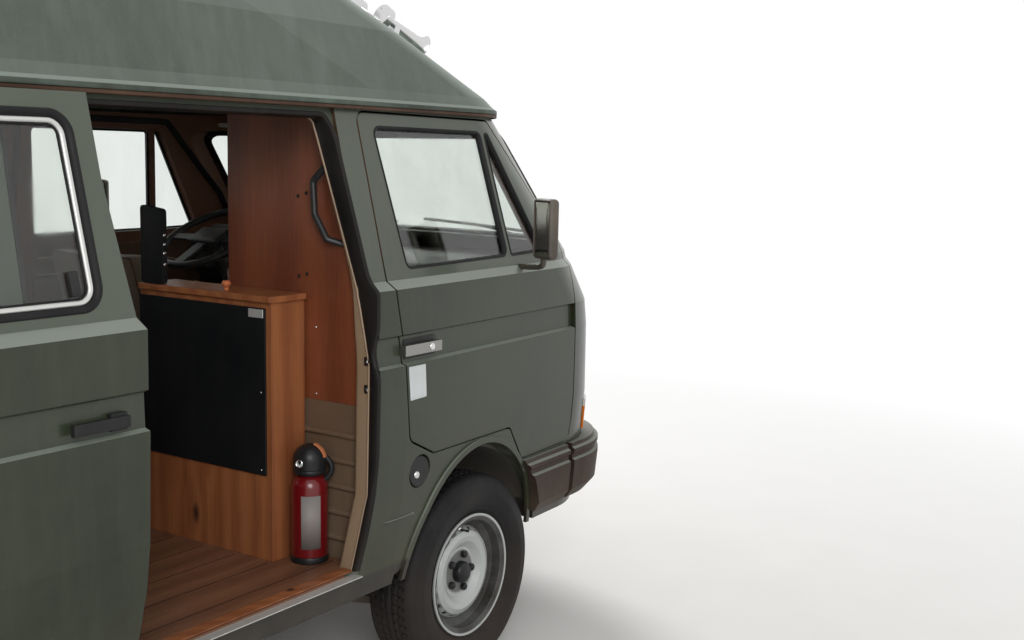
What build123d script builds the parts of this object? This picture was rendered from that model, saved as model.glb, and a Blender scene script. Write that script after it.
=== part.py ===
from build123d import *
from math import asin, atan, cos, degrees, pi, radians, sin, sqrt
import os

# A boxy high-roofed camper van with its engine in the tail.
# Frame: +X towards the nose, +Y to the van's left, +Z up, the ground at Z = 0.
# All sizes are in millimetres. Every X below is measured from the front axle, as on a vehicle's drawings;
# the finished pieces are moved forward by FRONT_AXLE_X, which puts the origin under the middle of the length.

# Driving dimensions
LENGTH = 4570.0
FRONT_OVERHANG = 1080.0
WHEELBASE = 2460.0
FRONT_TRACK = 1585.0
REAR_TRACK = 1570.0
FRONT_AXLE_X = LENGTH / 2 - FRONT_OVERHANG
TAIL_TIP = FRONT_OVERHANG - LENGTH
GAP = 6.0
SEAT_GAP = 0.3

# Wheels and tyres
TYRE_R = 318.0
TYRE_HALF_WIDTH = 94.0
RIM_FLANGE_R = 193.0
RIM_HALF_WIDTH = 79.0
BEAD_R = 177.5
WELL_R = 152.0
RIM_WALL = 6.0
DISC_SEAT_Y = 24.0
HUB_R = 33.0
SPINDLE_R = 15.0
SPINDLE_FIT = 0.05
BOLT_CIRCLE_R = 56.0
BOLT_COUNT = 5
BOLT_R = 9.5
BOLT_HEIGHT = 12.0
SLOT_COUNT = 20
SLOT_R = 138.0
SLOT_LENGTH = 24.0
SLOT_WIDTH = 9.0
DRUM_R = 125.0
DRUM_INNER_Y = -35.0

# Steering
KINGPIN_Y = 720.0
KNUCKLE_HALF = 15.0
KNUCKLE_HALF_HEIGHT = 118.0
STEERING_CENTRE = (130.0, 430.0, 1302.0)
STEERING_TILT = 29.0
STEERING_R = 205.0
STEERING_RIM_R = 13.0

# Body walls
WALL = 53.0
PILLAR_WALL = 49.0
RECESS_DEPTH = 16.0
NOSE_ARC_R = 2100.0
NOSE_CHORD_SHARE = 0.72
TAPER_START_X = -395.0
LEAST_TAPER = 800.0
TAIL_CORNER_R = 120.0
BODY_BOTTOM = 400.0
BODY_TOP = 1752.0
GLASS_INSET = 12.0
GLASS_THICKNESS = 6.0

# Floors
FLOOR_TOP = 470.0
SILL_TOP = 472.0
WOOD_THICKNESS = 12.0
CAB_FLOOR_TOP = 640.0
CAB_FLOOR_THICKNESS = 20.0
BULKHEAD_X = -490.0
BULKHEAD_THICKNESS = 12.0
DECK_TOP = 1020.0
DECK_FRONT_X = -2190.0

# Wheel arches and wheel houses
ARCH_HALF_LENGTH = 345.0
FRONT_ARCH_RISE = 425.0
REAR_ARCH_RISE = 395.0
FLARE_WIDTH = 17.0
FLARE_PROUD = 8.0
HOUSE_R = 400.0
HOUSE_WALL = 12.0
HOUSE_INNER_Y = 490.0
ARCH_LIP_Y = 872.0

# Open sliding door: how far it stands back from and outside its doorway
SLIDE_BACK = 840.0
SLIDE_OUT = 85.0

# Body sections, one row a height: height, nose at the centre line, half width of the sides,
# half width where the nose corner starts, tail
BODY_ROWS = (
    (BODY_BOTTOM, 958.0, 868.0, 838.0, -3345.0),
    (598.0, 982.0, 902.0, 872.0, -3370.0),
    (800.0, 988.0, 921.0, 889.0, -3385.0),
    (1042.0, 981.0, 921.0, 892.0, -3383.0),
    (1128.0, 967.0, 915.0, 890.0, -3373.0),
    (1255.0, 872.0, 912.0, 885.0, -3355.0),
    (1277.0, 866.0, 881.0, 857.0, -3339.0),
    (1300.0, 862.0, 876.0, 852.0, -3335.0),
    (1734.0, 477.0, 784.0, 775.0, -3170.0),
    (BODY_TOP, 461.0, 780.0, 771.0, -3162.0),
)
RECESS_LOW = 1047.0
RECESS_HIGH = 1121.0

# Inner face of the walls
CABIN_ROWS = (
    (FLOOR_TOP, 905.0, 845.0, 815.0, -3295.0),
    (1042.0, 918.0, 921.0 - WALL, 892.0 - WALL, -3320.0),
    (1277.0, 800.0, 836.0, 812.0, -3285.0),
    (1734.0, 430.0, 784.0 - PILLAR_WALL, 775.0 - PILLAR_WALL, -3110.0),
    (BODY_TOP + 10.0, 405.0, 729.0, 720.0, -3100.0),
)

# High roof: the thin lip, the foot of the ramp, the side crease, the shoulder and the top
RAMP_LOW_X = 428.0
RAMP_LOW_Z = 1800.0
RAMP_HIGH_X = 30.0
RAMP_HIGH_Z = 1968.0
ROOF_ROWS = (
    (BODY_TOP, 484.0, 806.0, 797.0, -3190.0),
    (1764.0, 483.0, 805.0, 796.0, -3188.0),
    (1773.0, 468.0, 795.0, 786.0, -3180.0),
    (RAMP_LOW_Z, RAMP_LOW_X, 787.0, 777.0, -3176.0),
    (RAMP_HIGH_Z, RAMP_HIGH_X, 752.0, 738.0, -3150.0),
    (2330.0, -850.0, 640.0, 615.0, -3065.0),
    (2440.0, -1130.0, 560.0, 520.0, -2995.0),
    (2465.0, -1240.0, 460.0, 420.0, -2895.0),
)
ROOF_INNER_ROWS = (
    (BODY_TOP, 418.0, 762.0, 753.0, -3145.0),
    (RAMP_HIGH_Z, RAMP_HIGH_X - 75.0, 722.0, 708.0, -3120.0),
    (2330.0, -920.0, 610.0, 585.0, -3035.0),
    (2428.0, -1170.0, 530.0, 490.0, -2965.0),
)

# Outlines on the side of the van, each point (x, z)
FRONT_DOOR = (
    (-453.0, 1734.0), (180.0, 1728.0), (460.0, 1452.0), (545.0, 1331.0), (558.0, 1230.0),
    (560.0, 1130.0), (563.0, 900.0), (562.0, 718.0), (552.0, 650.0), (254.0, 644.0),
    (160.0, 768.0), (-255.0, 768.0), (-374.0, 826.0), (-400.0, 1109.0), (-433.0, 1278.0),
)
DOOR_MAIN_WINDOW = ((-394.0, 1694.0), (129.0, 1691.0), (189.0, 1308.0), (-335.0, 1303.0))
DOOR_VENT_WINDOW = ((153.0, 1688.0), (170.0, 1687.0), (405.0, 1312.0), (213.0, 1308.0))
WINDOW_DIVIDER = ((110.0, 1700.0), (160.0, 1700.0), (230.0, 1290.0), (170.0, 1290.0))
DIVIDER_DEPTH = 24.0
DOORWAY = (
    (-1540.0, 1728.0), (-556.0, 1728.0), (-503.0, 1256.0), (-518.0, 700.0),
    (-550.0, SILL_TOP), (-1565.0, SILL_TOP),
)
SLIDING_WINDOW = ((-1440.0, 1692.0), (-604.0, 1692.0), (-592.0, 1303.0), (-1440.0, 1303.0))
SLIDING_FLANGE = ((-1534.0, 1560.0), (-1534.0, 1739.0), (-548.0, 1739.0), (-544.0, 1560.0))
SLIDING_REBATE = (
    (-1546.0, 1715.0), (-1546.0, 1745.0), (-541.0, 1745.0),
    (-537.0, 1560.0), (-560.0, 1560.0), (-560.0, 1715.0),
)
FLANGE_DEPTH = 12.0
DOORWAY_R = 28.0
REAR_SIDE_WINDOW = ((-2940.0, 1690.0), (-1730.0, 1690.0), (-1730.0, 1312.0), (-3000.0, 1312.0))
MIDDLE_SIDE_WINDOW = ((-1580.0, 1690.0), (-600.0, 1690.0), (-570.0, 1312.0), (-1580.0, 1312.0))

# Outlines across the van, each point (y, z)
WINDSCREEN = ((-700.0, 1694.0), (700.0, 1694.0), (768.0, 1322.0), (-768.0, 1322.0))
TAILGATE = (
    (-655.0, 1728.0), (655.0, 1728.0), (715.0, 1277.0), (715.0, 790.0), (-715.0, 790.0), (-715.0, 1277.0),
)
TAILGATE_WINDOW = ((-585.0, 1670.0), (585.0, 1670.0), (625.0, 1312.0), (-625.0, 1312.0))


def plan_outline(z, nose_x, side_y, nose_y, tail_x):
    """Closed horizontal outline at height z: a shallow nose arc, two corner arcs, sides that taper
    towards the nose, and a straight tail with round corners."""
    half_chord = NOSE_CHORD_SHARE * nose_y
    nose_angle = asin(half_chord / NOSE_ARC_R)
    taper_x = min(TAPER_START_X, nose_x - LEAST_TAPER)
    taper = atan((side_y - nose_y) / (nose_x - taper_x))
    corner_r = (nose_y - half_chord) / (cos(taper) - sin(nose_angle))
    arc_end_x = nose_x - NOSE_ARC_R * (1.0 - cos(nose_angle))
    centre_x = arc_end_x - corner_r * cos(nose_angle)
    centre_y = half_chord - corner_r * sin(nose_angle)
    side_angle = pi / 2 - taper
    middle_angle = (nose_angle + side_angle) / 2

    def corner(angle, side):
        return (centre_x + corner_r * cos(angle), side * (centre_y + corner_r * sin(angle)), z)

    tail_mid = TAIL_CORNER_R * (1.0 - sin(pi / 4))
    edges = [ThreePointArc((arc_end_x, -half_chord, z), (nose_x, 0, z), (arc_end_x, half_chord, z))]
    edges.append(ThreePointArc((arc_end_x, half_chord, z), corner(middle_angle, 1), corner(side_angle, 1)))
    edges.append(Line(corner(side_angle, 1), (taper_x, side_y, z)))
    edges.append(Line((taper_x, side_y, z), (tail_x + TAIL_CORNER_R, side_y, z)))
    edges.append(ThreePointArc(
        (tail_x + TAIL_CORNER_R, side_y, z),
        (tail_x + tail_mid, side_y - tail_mid, z),
        (tail_x, side_y - TAIL_CORNER_R, z)))
    edges.append(Line((tail_x, side_y - TAIL_CORNER_R, z), (tail_x, TAIL_CORNER_R - side_y, z)))
    edges.append(ThreePointArc(
        (tail_x, TAIL_CORNER_R - side_y, z),
        (tail_x + tail_mid, tail_mid - side_y, z),
        (tail_x + TAIL_CORNER_R, -side_y, z)))
    edges.append(Line((tail_x + TAIL_CORNER_R, -side_y, z), (taper_x, -side_y, z)))
    edges.append(Line((taper_x, -side_y, z), corner(side_angle, -1)))
    edges.append(ThreePointArc(corner(side_angle, -1), corner(middle_angle, -1), (arc_end_x, -half_chord, z)))
    return Face(Wire(edges))


def stack(rows, inset=0.0):
    """Solid through the outlines of the rows, with every outline moved inwards by inset."""
    faces = []
    for z, nose_x, side_y, nose_y, tail_x in rows:
        faces.append(plan_outline(z, nose_x - inset, side_y - inset, nose_y - inset, tail_x + inset))
    return loft(faces, ruled=True)


def rows_between(rows, low, high):
    """The rows from height low to height high, with the end rows worked out on the straight flanks."""
    def at(z):
        for below, above in zip(rows, rows[1:]):
            if below[0] <= z <= above[0]:
                share = (z - below[0]) / (above[0] - below[0])
                return tuple(a + share * (b - a) for a, b in zip(below, above))
        raise ValueError("height outside the table")

    inside = [row for row in rows if low < row[0] < high]
    return [at(low)] + inside + [at(high)]


def outline(points, radius=0.0):
    """Flat face with the given corners, rounded by radius."""
    face = make_face(Polyline(*points, close=True))
    if radius > 0:
        face = fillet(face.vertices(), radius)
    return face


def along(axis, low):
    """Plane across the axis at low, with its two directions in X, Y, Z order."""
    if axis == "X":
        return Plane(origin=(low, 0, 0), x_dir=(0, 1, 0), z_dir=(1, 0, 0))
    if axis == "Y":
        return Plane(origin=(0, low, 0), x_dir=(1, 0, 0), z_dir=(0, -1, 0))
    return Plane(origin=(0, 0, low), x_dir=(1, 0, 0), z_dir=(0, 0, 1))


DIRECTIONS = {"X": (1, 0, 0), "Y": (0, 1, 0), "Z": (0, 0, 1)}


def bar(face, axis, low, high):
    """Prism of a flat face from low to high along the axis."""
    return extrude(along(axis, low) * face, amount=high - low, dir=DIRECTIONS[axis])


def block(x, y, z):
    """Box between two limits on each axis."""
    size = (x[1] - x[0], y[1] - y[0], z[1] - z[0])
    centre = ((x[0] + x[1]) / 2, (y[0] + y[1]) / 2, (z[0] + z[1]) / 2)
    return Pos(*centre) * Box(*size)


def rod(axis, centre, radius, low, high):
    """Cylinder along the axis from low to high; centre holds the other two coordinates."""
    return bar(Pos(*centre) * Circle(radius), axis, low, high)


def on_side(face, side, low=560.0, high=1300.0):
    """Prism of a side outline on one side of the van: side is 1 for left, -1 for right."""
    if side > 0:
        return bar(face, "Y", low, high)
    return bar(face, "Y", -high, -low)


def both_sides(shape):
    """A left-hand shape with its mirror image."""
    return [shape, mirror(shape, about=Plane.XZ)]


def solids_of(*shapes):
    """All solids of the shapes, as one compound."""
    found = []
    for shape in shapes:
        found.extend(shape.solids())
    return Compound(children=found)


parts = {}

# Body: the walls as a whole, from which the doors and the tailgate are cut

recess_rows = []
for row in BODY_ROWS:
    recess_rows.append(row)
    if row[0] == 1042.0:
        for z in (RECESS_LOW, RECESS_HIGH):
            whole = rows_between(BODY_ROWS, z, 1128.0)[0]
            recess_rows.append((
                z, whole[1], whole[2] - RECESS_DEPTH, whole[3] - RECESS_DEPTH, whole[4] + RECESS_DEPTH))

SEAM_X = 566.0
outer = stack(BODY_ROWS)
outer_recessed = stack(recess_rows)
cabin = stack(CABIN_ROWS)
rear_of_seam = block((TAIL_TIP, SEAM_X), (-1100, 1100), (300, 1900))
front_of_seam = block((SEAM_X, FRONT_OVERHANG), (-1100, 1100), (300, 1900))
walls = (outer_recessed & rear_of_seam) + (outer & front_of_seam)
walls = walls - cabin

front_door_face = outline(FRONT_DOOR, 28.0)
front_doorway_face = offset(front_door_face, amount=GAP)
doorway_face = outline(DOORWAY, DOORWAY_R)
sliding_door_face = offset(doorway_face, amount=-GAP)
tailgate_face = outline(TAILGATE, 35.0)
tailgate_opening_face = offset(tailgate_face, amount=GAP)
windscreen_face = outline(WINDSCREEN, 60.0)
tailgate_window_face = outline(TAILGATE_WINDOW, 45.0)
main_window_face = outline(DOOR_MAIN_WINDOW, 24.0)
vent_window_face = outline(DOOR_VENT_WINDOW, 8.0)
sliding_window_face = outline(SLIDING_WINDOW, 45.0)
rear_window_face = outline(REAR_SIDE_WINDOW, 60.0)
middle_window_face = outline(MIDDLE_SIDE_WINDOW, 60.0)


def arch_face(axle_x, rise, grow=0.0):
    """Side outline of a wheel arch, an ellipse about the wheel centre."""
    return Pos(axle_x, TYRE_R) * Ellipse(ARCH_HALF_LENGTH + grow, rise + grow)


def wheel_space(axle_x, side, radius):
    """Room of a wheel house behind the arch lip."""
    low, high = sorted((side * HOUSE_INNER_Y, side * ARCH_LIP_Y))
    return rod("Y", (axle_x, TYRE_R), radius, low, high)


ARCHES = ((0.0, FRONT_ARCH_RISE), (-WHEELBASE, REAR_ARCH_RISE))

GLASS_LOW = 1290.0
GLASS_HIGH = 1712.0
glass_rows = rows_between(BODY_ROWS, GLASS_LOW, GLASS_HIGH)
glass_shell = stack(glass_rows, GLASS_INSET) - stack(glass_rows, GLASS_INSET + GLASS_THICKNESS)


def pane(face, cutter_side):
    """Glass pane that fits a window outline with the seat gap all round."""
    smaller = offset(face, amount=-SEAT_GAP)
    if cutter_side == "front":
        return glass_shell & bar(smaller, "X", 0, FRONT_OVERHANG)
    if cutter_side == "tail":
        return glass_shell & bar(smaller, "X", TAIL_TIP, -3000)
    return glass_shell & on_side(smaller, cutter_side)


shell = walls
for side in (1, -1):
    shell -= on_side(front_doorway_face, side)
    shell -= on_side(rear_window_face, side)
    for axle_x, rise in ARCHES:
        shell -= on_side(arch_face(axle_x, rise), side, HOUSE_INNER_Y)
        shell -= wheel_space(axle_x, side, HOUSE_R)
shell -= on_side(doorway_face, -1)
rebate_skin = stack(BODY_ROWS, -FLARE_PROUD) - stack(BODY_ROWS, FLANGE_DEPTH + 2.0)
shell -= rebate_skin & on_side(outline(SLIDING_REBATE), -1)
shell -= on_side(middle_window_face, 1)
shell -= bar(windscreen_face, "X", 0, FRONT_OVERHANG)
shell -= bar(tailgate_opening_face, "X", TAIL_TIP, -3000)

# Flares round the arches
flare_stack = stack(rows_between(BODY_ROWS, BODY_BOTTOM, 780.0), -FLARE_PROUD)
flare_stack -= stack(rows_between(BODY_ROWS, BODY_BOTTOM, 780.0), 4.0)
for axle_x, rise in ARCHES:
    flare_face = arch_face(axle_x, rise, FLARE_WIDTH) - arch_face(axle_x, rise)
    for side in (1, -1):
        shell += flare_stack & on_side(flare_face, side)

# Air intakes in the rear pillars
LOUVRE_COUNT = 7
LOUVRE_START = (-3100.0, 1350.0)
LOUVRE_STEP = (9.0, 44.0)
LOUVRE_LENGTH = 110.0
LOUVRE_HEIGHT = 22.0
LOUVRE_DEPTH = 12.0
louvre_skin = stack(glass_rows, -FLARE_PROUD) - stack(glass_rows, LOUVRE_DEPTH)
for index in range(LOUVRE_COUNT):
    louvre_place = Pos(LOUVRE_START[0] + LOUVRE_STEP[0] * index, LOUVRE_START[1] + LOUVRE_STEP[1] * index)
    louvre_face = louvre_place * Rectangle(LOUVRE_LENGTH, LOUVRE_HEIGHT)
    for side in (1, -1):
        shell -= louvre_skin & on_side(louvre_face, side)

# Hinge blocks in the jambs of the front doors
HINGE_X = SEAM_X
HINGE_HEIGHTS = ((800.0, 860.0), (970.0, 1030.0))
HINGE_SEAT_Y = (850.0, 880.0)
door_seat_face = offset(front_door_face, amount=SEAT_GAP)
for low, high in HINGE_HEIGHTS:
    hinge = block((HINGE_X - 10.0, HINGE_X + 10.0), HINGE_SEAT_Y, (low, high)) - on_side(door_seat_face, 1)
    for piece in both_sides(hinge):
        shell += piece

# Hinge blocks above the tailgate
for side in (1, -1):
    y_limits = sorted((side * 330.0, side * 400.0))
    shell += block((-3160.0, -3130.0), y_limits, (1728.0 + SEAT_GAP, 1736.0))

# Engine bay, open below
shell -= block((-3270.0, -2220.0), (-400.0, 400.0), (BODY_BOTTOM - 1.0, FLOOR_TOP + 1.0))

# Nose openings for the lamps and the grille
LAMP_Y = 600.0
LAMP_Z = 905.0
LAMP_R = 96.0
GRILLE = ((-800.0, 835.0), (800.0, 835.0), (800.0, 1000.0), (-800.0, 1000.0))
LOWER_GRILLE = ((-560.0, 668.0), (560.0, 668.0), (560.0, 770.0), (-560.0, 770.0))
GRILLE_DEPTH = 22.0
nose_rows = rows_between(BODY_ROWS, 650.0, 1040.0)
nose_pocket = stack(nose_rows, -20.0) - stack(nose_rows, GRILLE_DEPTH)
grille_face = outline(GRILLE, 30.0)
lower_grille_face = outline(LOWER_GRILLE, 12.0)
shell -= nose_pocket & bar(grille_face, "X", 0, FRONT_OVERHANG)
shell -= nose_pocket & bar(lower_grille_face, "X", 0, FRONT_OVERHANG)
for side in (1, -1):
    shell -= rod("X", (side * LAMP_Y, LAMP_Z), LAMP_R, 600, FRONT_OVERHANG)

# Pockets for the indicators at the nose corners and the lamps at the tail corners
INDICATOR = ((655.0, 660.0), (900.0, 660.0), (900.0, 768.0), (655.0, 768.0))
INDICATOR_BACK_X = 700.0
TAIL_LAMP = ((742.0, 712.0), (940.0, 712.0), (940.0, 980.0), (742.0, 980.0))
TAIL_LAMP_FRONT_X = -3272.0
indicator_face = outline(INDICATOR, 10.0)
tail_lamp_face = outline(TAIL_LAMP, 12.0)
tail_rows = rows_between(BODY_ROWS, 700.0, 1000.0)
tail_pocket = stack(tail_rows, -20.0) - stack(tail_rows, GRILLE_DEPTH)
for pocket, face, low, high in (
        (nose_pocket, indicator_face, INDICATOR_BACK_X, FRONT_OVERHANG),
        (tail_pocket, tail_lamp_face, TAIL_TIP, TAIL_LAMP_FRONT_X)):
    for cut in both_sides(pocket & bar(face, "X", low, high)):
        shell -= cut

# Fuel filler recess on the right
FILLER = (-320.0, 724.0)
FILLER_R = 50.0
FILLER_DEPTH = 20.0
shell -= rod("Y", FILLER, FILLER_R, -940.0, -(912.0 - FILLER_DEPTH))
parts["body_shell"] = shell

# High roof
parts["high_roof"] = stack(ROOF_ROWS) - stack(ROOF_INNER_ROWS)

# Fixed glass
parts["windscreen"] = pane(windscreen_face, "front")
side_panes = [pane(rear_window_face, 1), pane(rear_window_face, -1), pane(middle_window_face, 1)]
parts["side_glass"] = solids_of(*side_panes)

# Front doors
for side, name in ((1, "left"), (-1, "right")):
    door = walls & on_side(front_door_face, side)
    door -= on_side(main_window_face, side)
    door -= on_side(vent_window_face, side)
    door -= stack(glass_rows, DIVIDER_DEPTH) & on_side(outline(WINDOW_DIVIDER), side)
    door -= wheel_space(0.0, side, HOUSE_R + GAP)
    parts["door_" + name] = door
    parts["door_glass_" + name] = solids_of(pane(main_window_face, side), pane(vent_window_face, side))

# Sliding door, standing open
slide = Pos(-SLIDE_BACK, -SLIDE_OUT, 0)
sliding_door = walls & on_side(sliding_door_face, -1)
flange_skin = outer - stack(BODY_ROWS, FLANGE_DEPTH)
sliding_door += flange_skin & on_side(outline(SLIDING_FLANGE), -1)
sliding_door -= on_side(sliding_window_face, -1)
parts["sliding_door"] = slide * sliding_door
parts["sliding_door_glass"] = slide * pane(sliding_window_face, -1)

# Tailgate
tailgate = walls & bar(tailgate_face, "X", TAIL_TIP, -3000)
tailgate -= bar(tailgate_window_face, "X", TAIL_TIP, -3000)
parts["tailgate"] = tailgate
parts["tailgate_glass"] = pane(tailgate_window_face, "tail")

# Plastic bumpers and trims: one moulded ring round the foot of the body, cut into lengths
BUMPER_LOW = 440.0
BUMPER_TOP = 637.0
BUMPER_ROWS = (
    (BUMPER_LOW, 1035.0, 894.0, 870.0, -3445.0),
    (475.0, 1072.0, 920.0, 895.0, -3482.0),
    (560.0, FRONT_OVERHANG, 928.0, 902.0, TAIL_TIP),
    (578.0, FRONT_OVERHANG, 928.0, 902.0, TAIL_TIP),
    (584.0, 1071.0, 919.0, 893.0, -3481.0),
    (598.0, 1071.0, 919.0, 893.0, -3481.0),
    (604.0, 1079.0, 927.0, 901.0, -3489.0),
    (618.0, 1079.0, 927.0, 901.0, -3489.0),
    (624.0, 1066.0, 917.0, 891.0, -3476.0),
    (BUMPER_TOP, 1060.0, 914.0, 889.0, -3470.0),
)
TRIM_FRONT_X = 536.0
BUMPER_FRONT_X = 562.0
TRIM_REAR_X = -2980.0
BUMPER_REAR_X = -3000.0
TRIM_ARCH_GAP = 2.0
plastic_ring = stack(BUMPER_ROWS) - stack(rows_between(BODY_ROWS, BUMPER_LOW, BUMPER_TOP), -SEAT_GAP)
front_bumper = plastic_ring & block((BUMPER_FRONT_X, FRONT_OVERHANG), (-1000, 1000), (430, 650))
rear_bumper = plastic_ring & block((TAIL_TIP, BUMPER_REAR_X), (-1000, 1000), (430, 650))
trims = plastic_ring & block((0, TRIM_FRONT_X), (-1000, 1000), (430, 650))
rear_trims = plastic_ring & block((TRIM_REAR_X, -WHEELBASE), (-1000, 1000), (430, 650))
for side in (1, -1):
    trim_arch = arch_face(0.0, FRONT_ARCH_RISE, FLARE_WIDTH + TRIM_ARCH_GAP)
    rear_trim_arch = arch_face(-WHEELBASE, REAR_ARCH_RISE, FLARE_WIDTH + TRIM_ARCH_GAP)
    trims -= on_side(trim_arch, side)
    rear_trims -= on_side(rear_trim_arch, side)
parts["bumpers"] = solids_of(front_bumper, rear_bumper, trims, rear_trims)

# Grilles: panels with slots, let into the nose
SLOT_COUNT_UPPER = 5
SLOT_HEIGHT = 14.0
grille_shell = stack(nose_rows, -2.0) - stack(nose_rows, GRILLE_DEPTH - SEAT_GAP)
grille = grille_shell & bar(offset(grille_face, amount=-SEAT_GAP), "X", 0, FRONT_OVERHANG)
slot_pitch = (1000.0 - 835.0) / (SLOT_COUNT_UPPER + 1)
for index in range(SLOT_COUNT_UPPER):
    slot_z = 835.0 + slot_pitch * (index + 1)
    slot_face = Pos(0, slot_z) * Rectangle(2 * (LAMP_Y - LAMP_R - 24.0), SLOT_HEIGHT)
    grille -= bar(slot_face, "X", 0, FRONT_OVERHANG)
for side in (1, -1):
    grille -= rod("X", (side * LAMP_Y, LAMP_Z), LAMP_R + 4.0, 600, FRONT_OVERHANG)
lower_grille = grille_shell & bar(offset(lower_grille_face, amount=-SEAT_GAP), "X", 0, FRONT_OVERHANG)
for index in range(3):
    slot_face = Pos(0, 694.0 + 25.0 * index) * Rectangle(1060.0, SLOT_HEIGHT)
    lower_grille -= bar(slot_face, "X", 0, FRONT_OVERHANG)
parts["grille"] = solids_of(grille, lower_grille)

# Round headlamps, each a bowl with a domed glass
LAMP_BACK_X = 830.0
LAMP_FACE_X = 912.0
LAMP_DOME = 16.0
LAMP_BEZEL = 8.0
lens_r = LAMP_R - LAMP_BEZEL
dome_r = (lens_r ** 2 + LAMP_DOME ** 2) / (2 * LAMP_DOME)
bowl_r = LAMP_R - SEAT_GAP
lens_mid_x = LAMP_FACE_X + LAMP_DOME - dome_r + sqrt(dome_r ** 2 - (lens_r / 2) ** 2)
lamp_profile = make_face([
    Line((LAMP_BACK_X, 0), (LAMP_BACK_X, bowl_r)),
    Line((LAMP_BACK_X, bowl_r), (LAMP_FACE_X, bowl_r)),
    Line((LAMP_FACE_X, bowl_r), (LAMP_FACE_X, lens_r)),
    ThreePointArc((LAMP_FACE_X, lens_r), (lens_mid_x, lens_r / 2), (LAMP_FACE_X + LAMP_DOME, 0)),
    Line((LAMP_FACE_X + LAMP_DOME, 0), (LAMP_BACK_X, 0)),
])
headlamp = Pos(0, LAMP_Y, LAMP_Z) * revolve(lamp_profile, Axis.X)
parts["headlamps"] = solids_of(*both_sides(headlamp))

# Indicators at the nose corners and lamps at the tail corners, let into the body
lamp_shell = stack(nose_rows, -7.0) - stack(nose_rows, GRILLE_DEPTH - SEAT_GAP)
indicators = lamp_shell & bar(offset(indicator_face, amount=-SEAT_GAP), "X", INDICATOR_BACK_X, FRONT_OVERHANG)
tail_shell = stack(tail_rows, -5.0) - stack(tail_rows, GRILLE_DEPTH - SEAT_GAP)
tail_lamps = tail_shell & bar(
    offset(tail_lamp_face, amount=-SEAT_GAP), "X", TAIL_TIP, TAIL_LAMP_FRONT_X - SEAT_GAP)
parts["indicators"] = solids_of(*both_sides(indicators))
parts["tail_lamps"] = solids_of(*both_sides(tail_lamps))

# Fuel filler cap
parts["fuel_cap"] = rod("Y", FILLER, FILLER_R - 6.0, -(912.0 - 2.0), -(912.0 - FILLER_DEPTH + SEAT_GAP))

# Air horns on the roof ramp: each a round housing, a trumpet and a foot
HORN_SLOPE = degrees(atan((RAMP_HIGH_Z - RAMP_LOW_Z) / (RAMP_LOW_X - RAMP_HIGH_X)))
HORN_LIFT = 64.0
HORNS = ((-60.0, -545.0, 205.0), (-98.0, -467.0, 178.0))
HORN_HOUSING_R = 32.0
HORN_BELL_R = 40.0


def air_horn(x, y, length):
    """Trumpet parallel to the roof ramp, with its housing at x and its bell towards the nose."""
    profile = make_face([
        Line((0, 0), (0, HORN_HOUSING_R)),
        Line((0, HORN_HOUSING_R), (26.0, HORN_HOUSING_R)),
        Line((26.0, HORN_HOUSING_R), (26.0, 9.0)),
        Line((26.0, 9.0), (length - 50.0, 20.0)),
        ThreePointArc((length - 50.0, 20.0), (length - 16.0, 27.0), (length, HORN_BELL_R)),
        Line((length, HORN_BELL_R), (length, 0)),
        Line((length, 0), (0, 0)),
    ])
    horn = revolve(profile, Axis.X)
    foot = block((60.0, 84.0), (-12.0, 12.0), (-HORN_LIFT - 20.0, -6.0))
    edge_x = RAMP_LOW_X - NOSE_ARC_R + sqrt(NOSE_ARC_R ** 2 - y ** 2)
    ramp_z = RAMP_LOW_Z + (edge_x - x) * sin(radians(HORN_SLOPE)) / cos(radians(HORN_SLOPE))
    lift_z = HORN_LIFT / cos(radians(HORN_SLOPE))
    placed = Pos(x, y, ramp_z + lift_z) * Rot(0, HORN_SLOPE, 0) * (horn + foot)
    return placed - stack(ROOF_ROWS, -SEAT_GAP)


parts["roof_horns"] = solids_of(*[air_horn(x, y, length) for x, y, length in HORNS])

# Floors, wheel houses, bulkheads and the bed deck over the engine
cabin_clear = stack(CABIN_ROWS, SEAT_GAP)
house_rings = []
for axle_x, rise in ARCHES:
    for side in (1, -1):
        outer_low, outer_high = sorted((side * (HOUSE_INNER_Y - HOUSE_WALL), side * ARCH_LIP_Y))
        house = rod("Y", (axle_x, TYRE_R), HOUSE_R + HOUSE_WALL, outer_low, outer_high)
        house -= wheel_space(axle_x, side, HOUSE_R)
        above_floor = block((TAIL_TIP, FRONT_OVERHANG), (-900, 900), (FLOOR_TOP + SEAT_GAP, 800))
        house_rings.append(house & cabin_clear & above_floor)

house_clear = []
for axle_x, rise in ARCHES:
    for side in (1, -1):
        low, high = sorted((side * (HOUSE_INNER_Y - HOUSE_WALL - SEAT_GAP), side * 900.0))
        house_clear.append(rod("Y", (axle_x, TYRE_R), HOUSE_R + HOUSE_WALL + SEAT_GAP, low, high))
front_house_clear = house_clear[0] + house_clear[1]
rear_house_clear = house_clear[2] + house_clear[3]

CAB_FLOOR_START_X = BULKHEAD_X + BULKHEAD_THICKNESS + SEAT_GAP
CAB_STEP_X = (CAB_FLOOR_START_X, BULKHEAD_X + 2 * BULKHEAD_THICKNESS)
CAB_FLOOR_Z = (CAB_FLOOR_TOP - CAB_FLOOR_THICKNESS, CAB_FLOOR_TOP)
cab_floor = cabin_clear & block((CAB_FLOOR_START_X, 1000), (-900, 900), CAB_FLOOR_Z)
cab_step = cabin_clear & block(CAB_STEP_X, (-900, 900), (FLOOR_TOP + SEAT_GAP, CAB_FLOOR_TOP))
cab_floor = (cab_floor + cab_step) - front_house_clear

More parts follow.
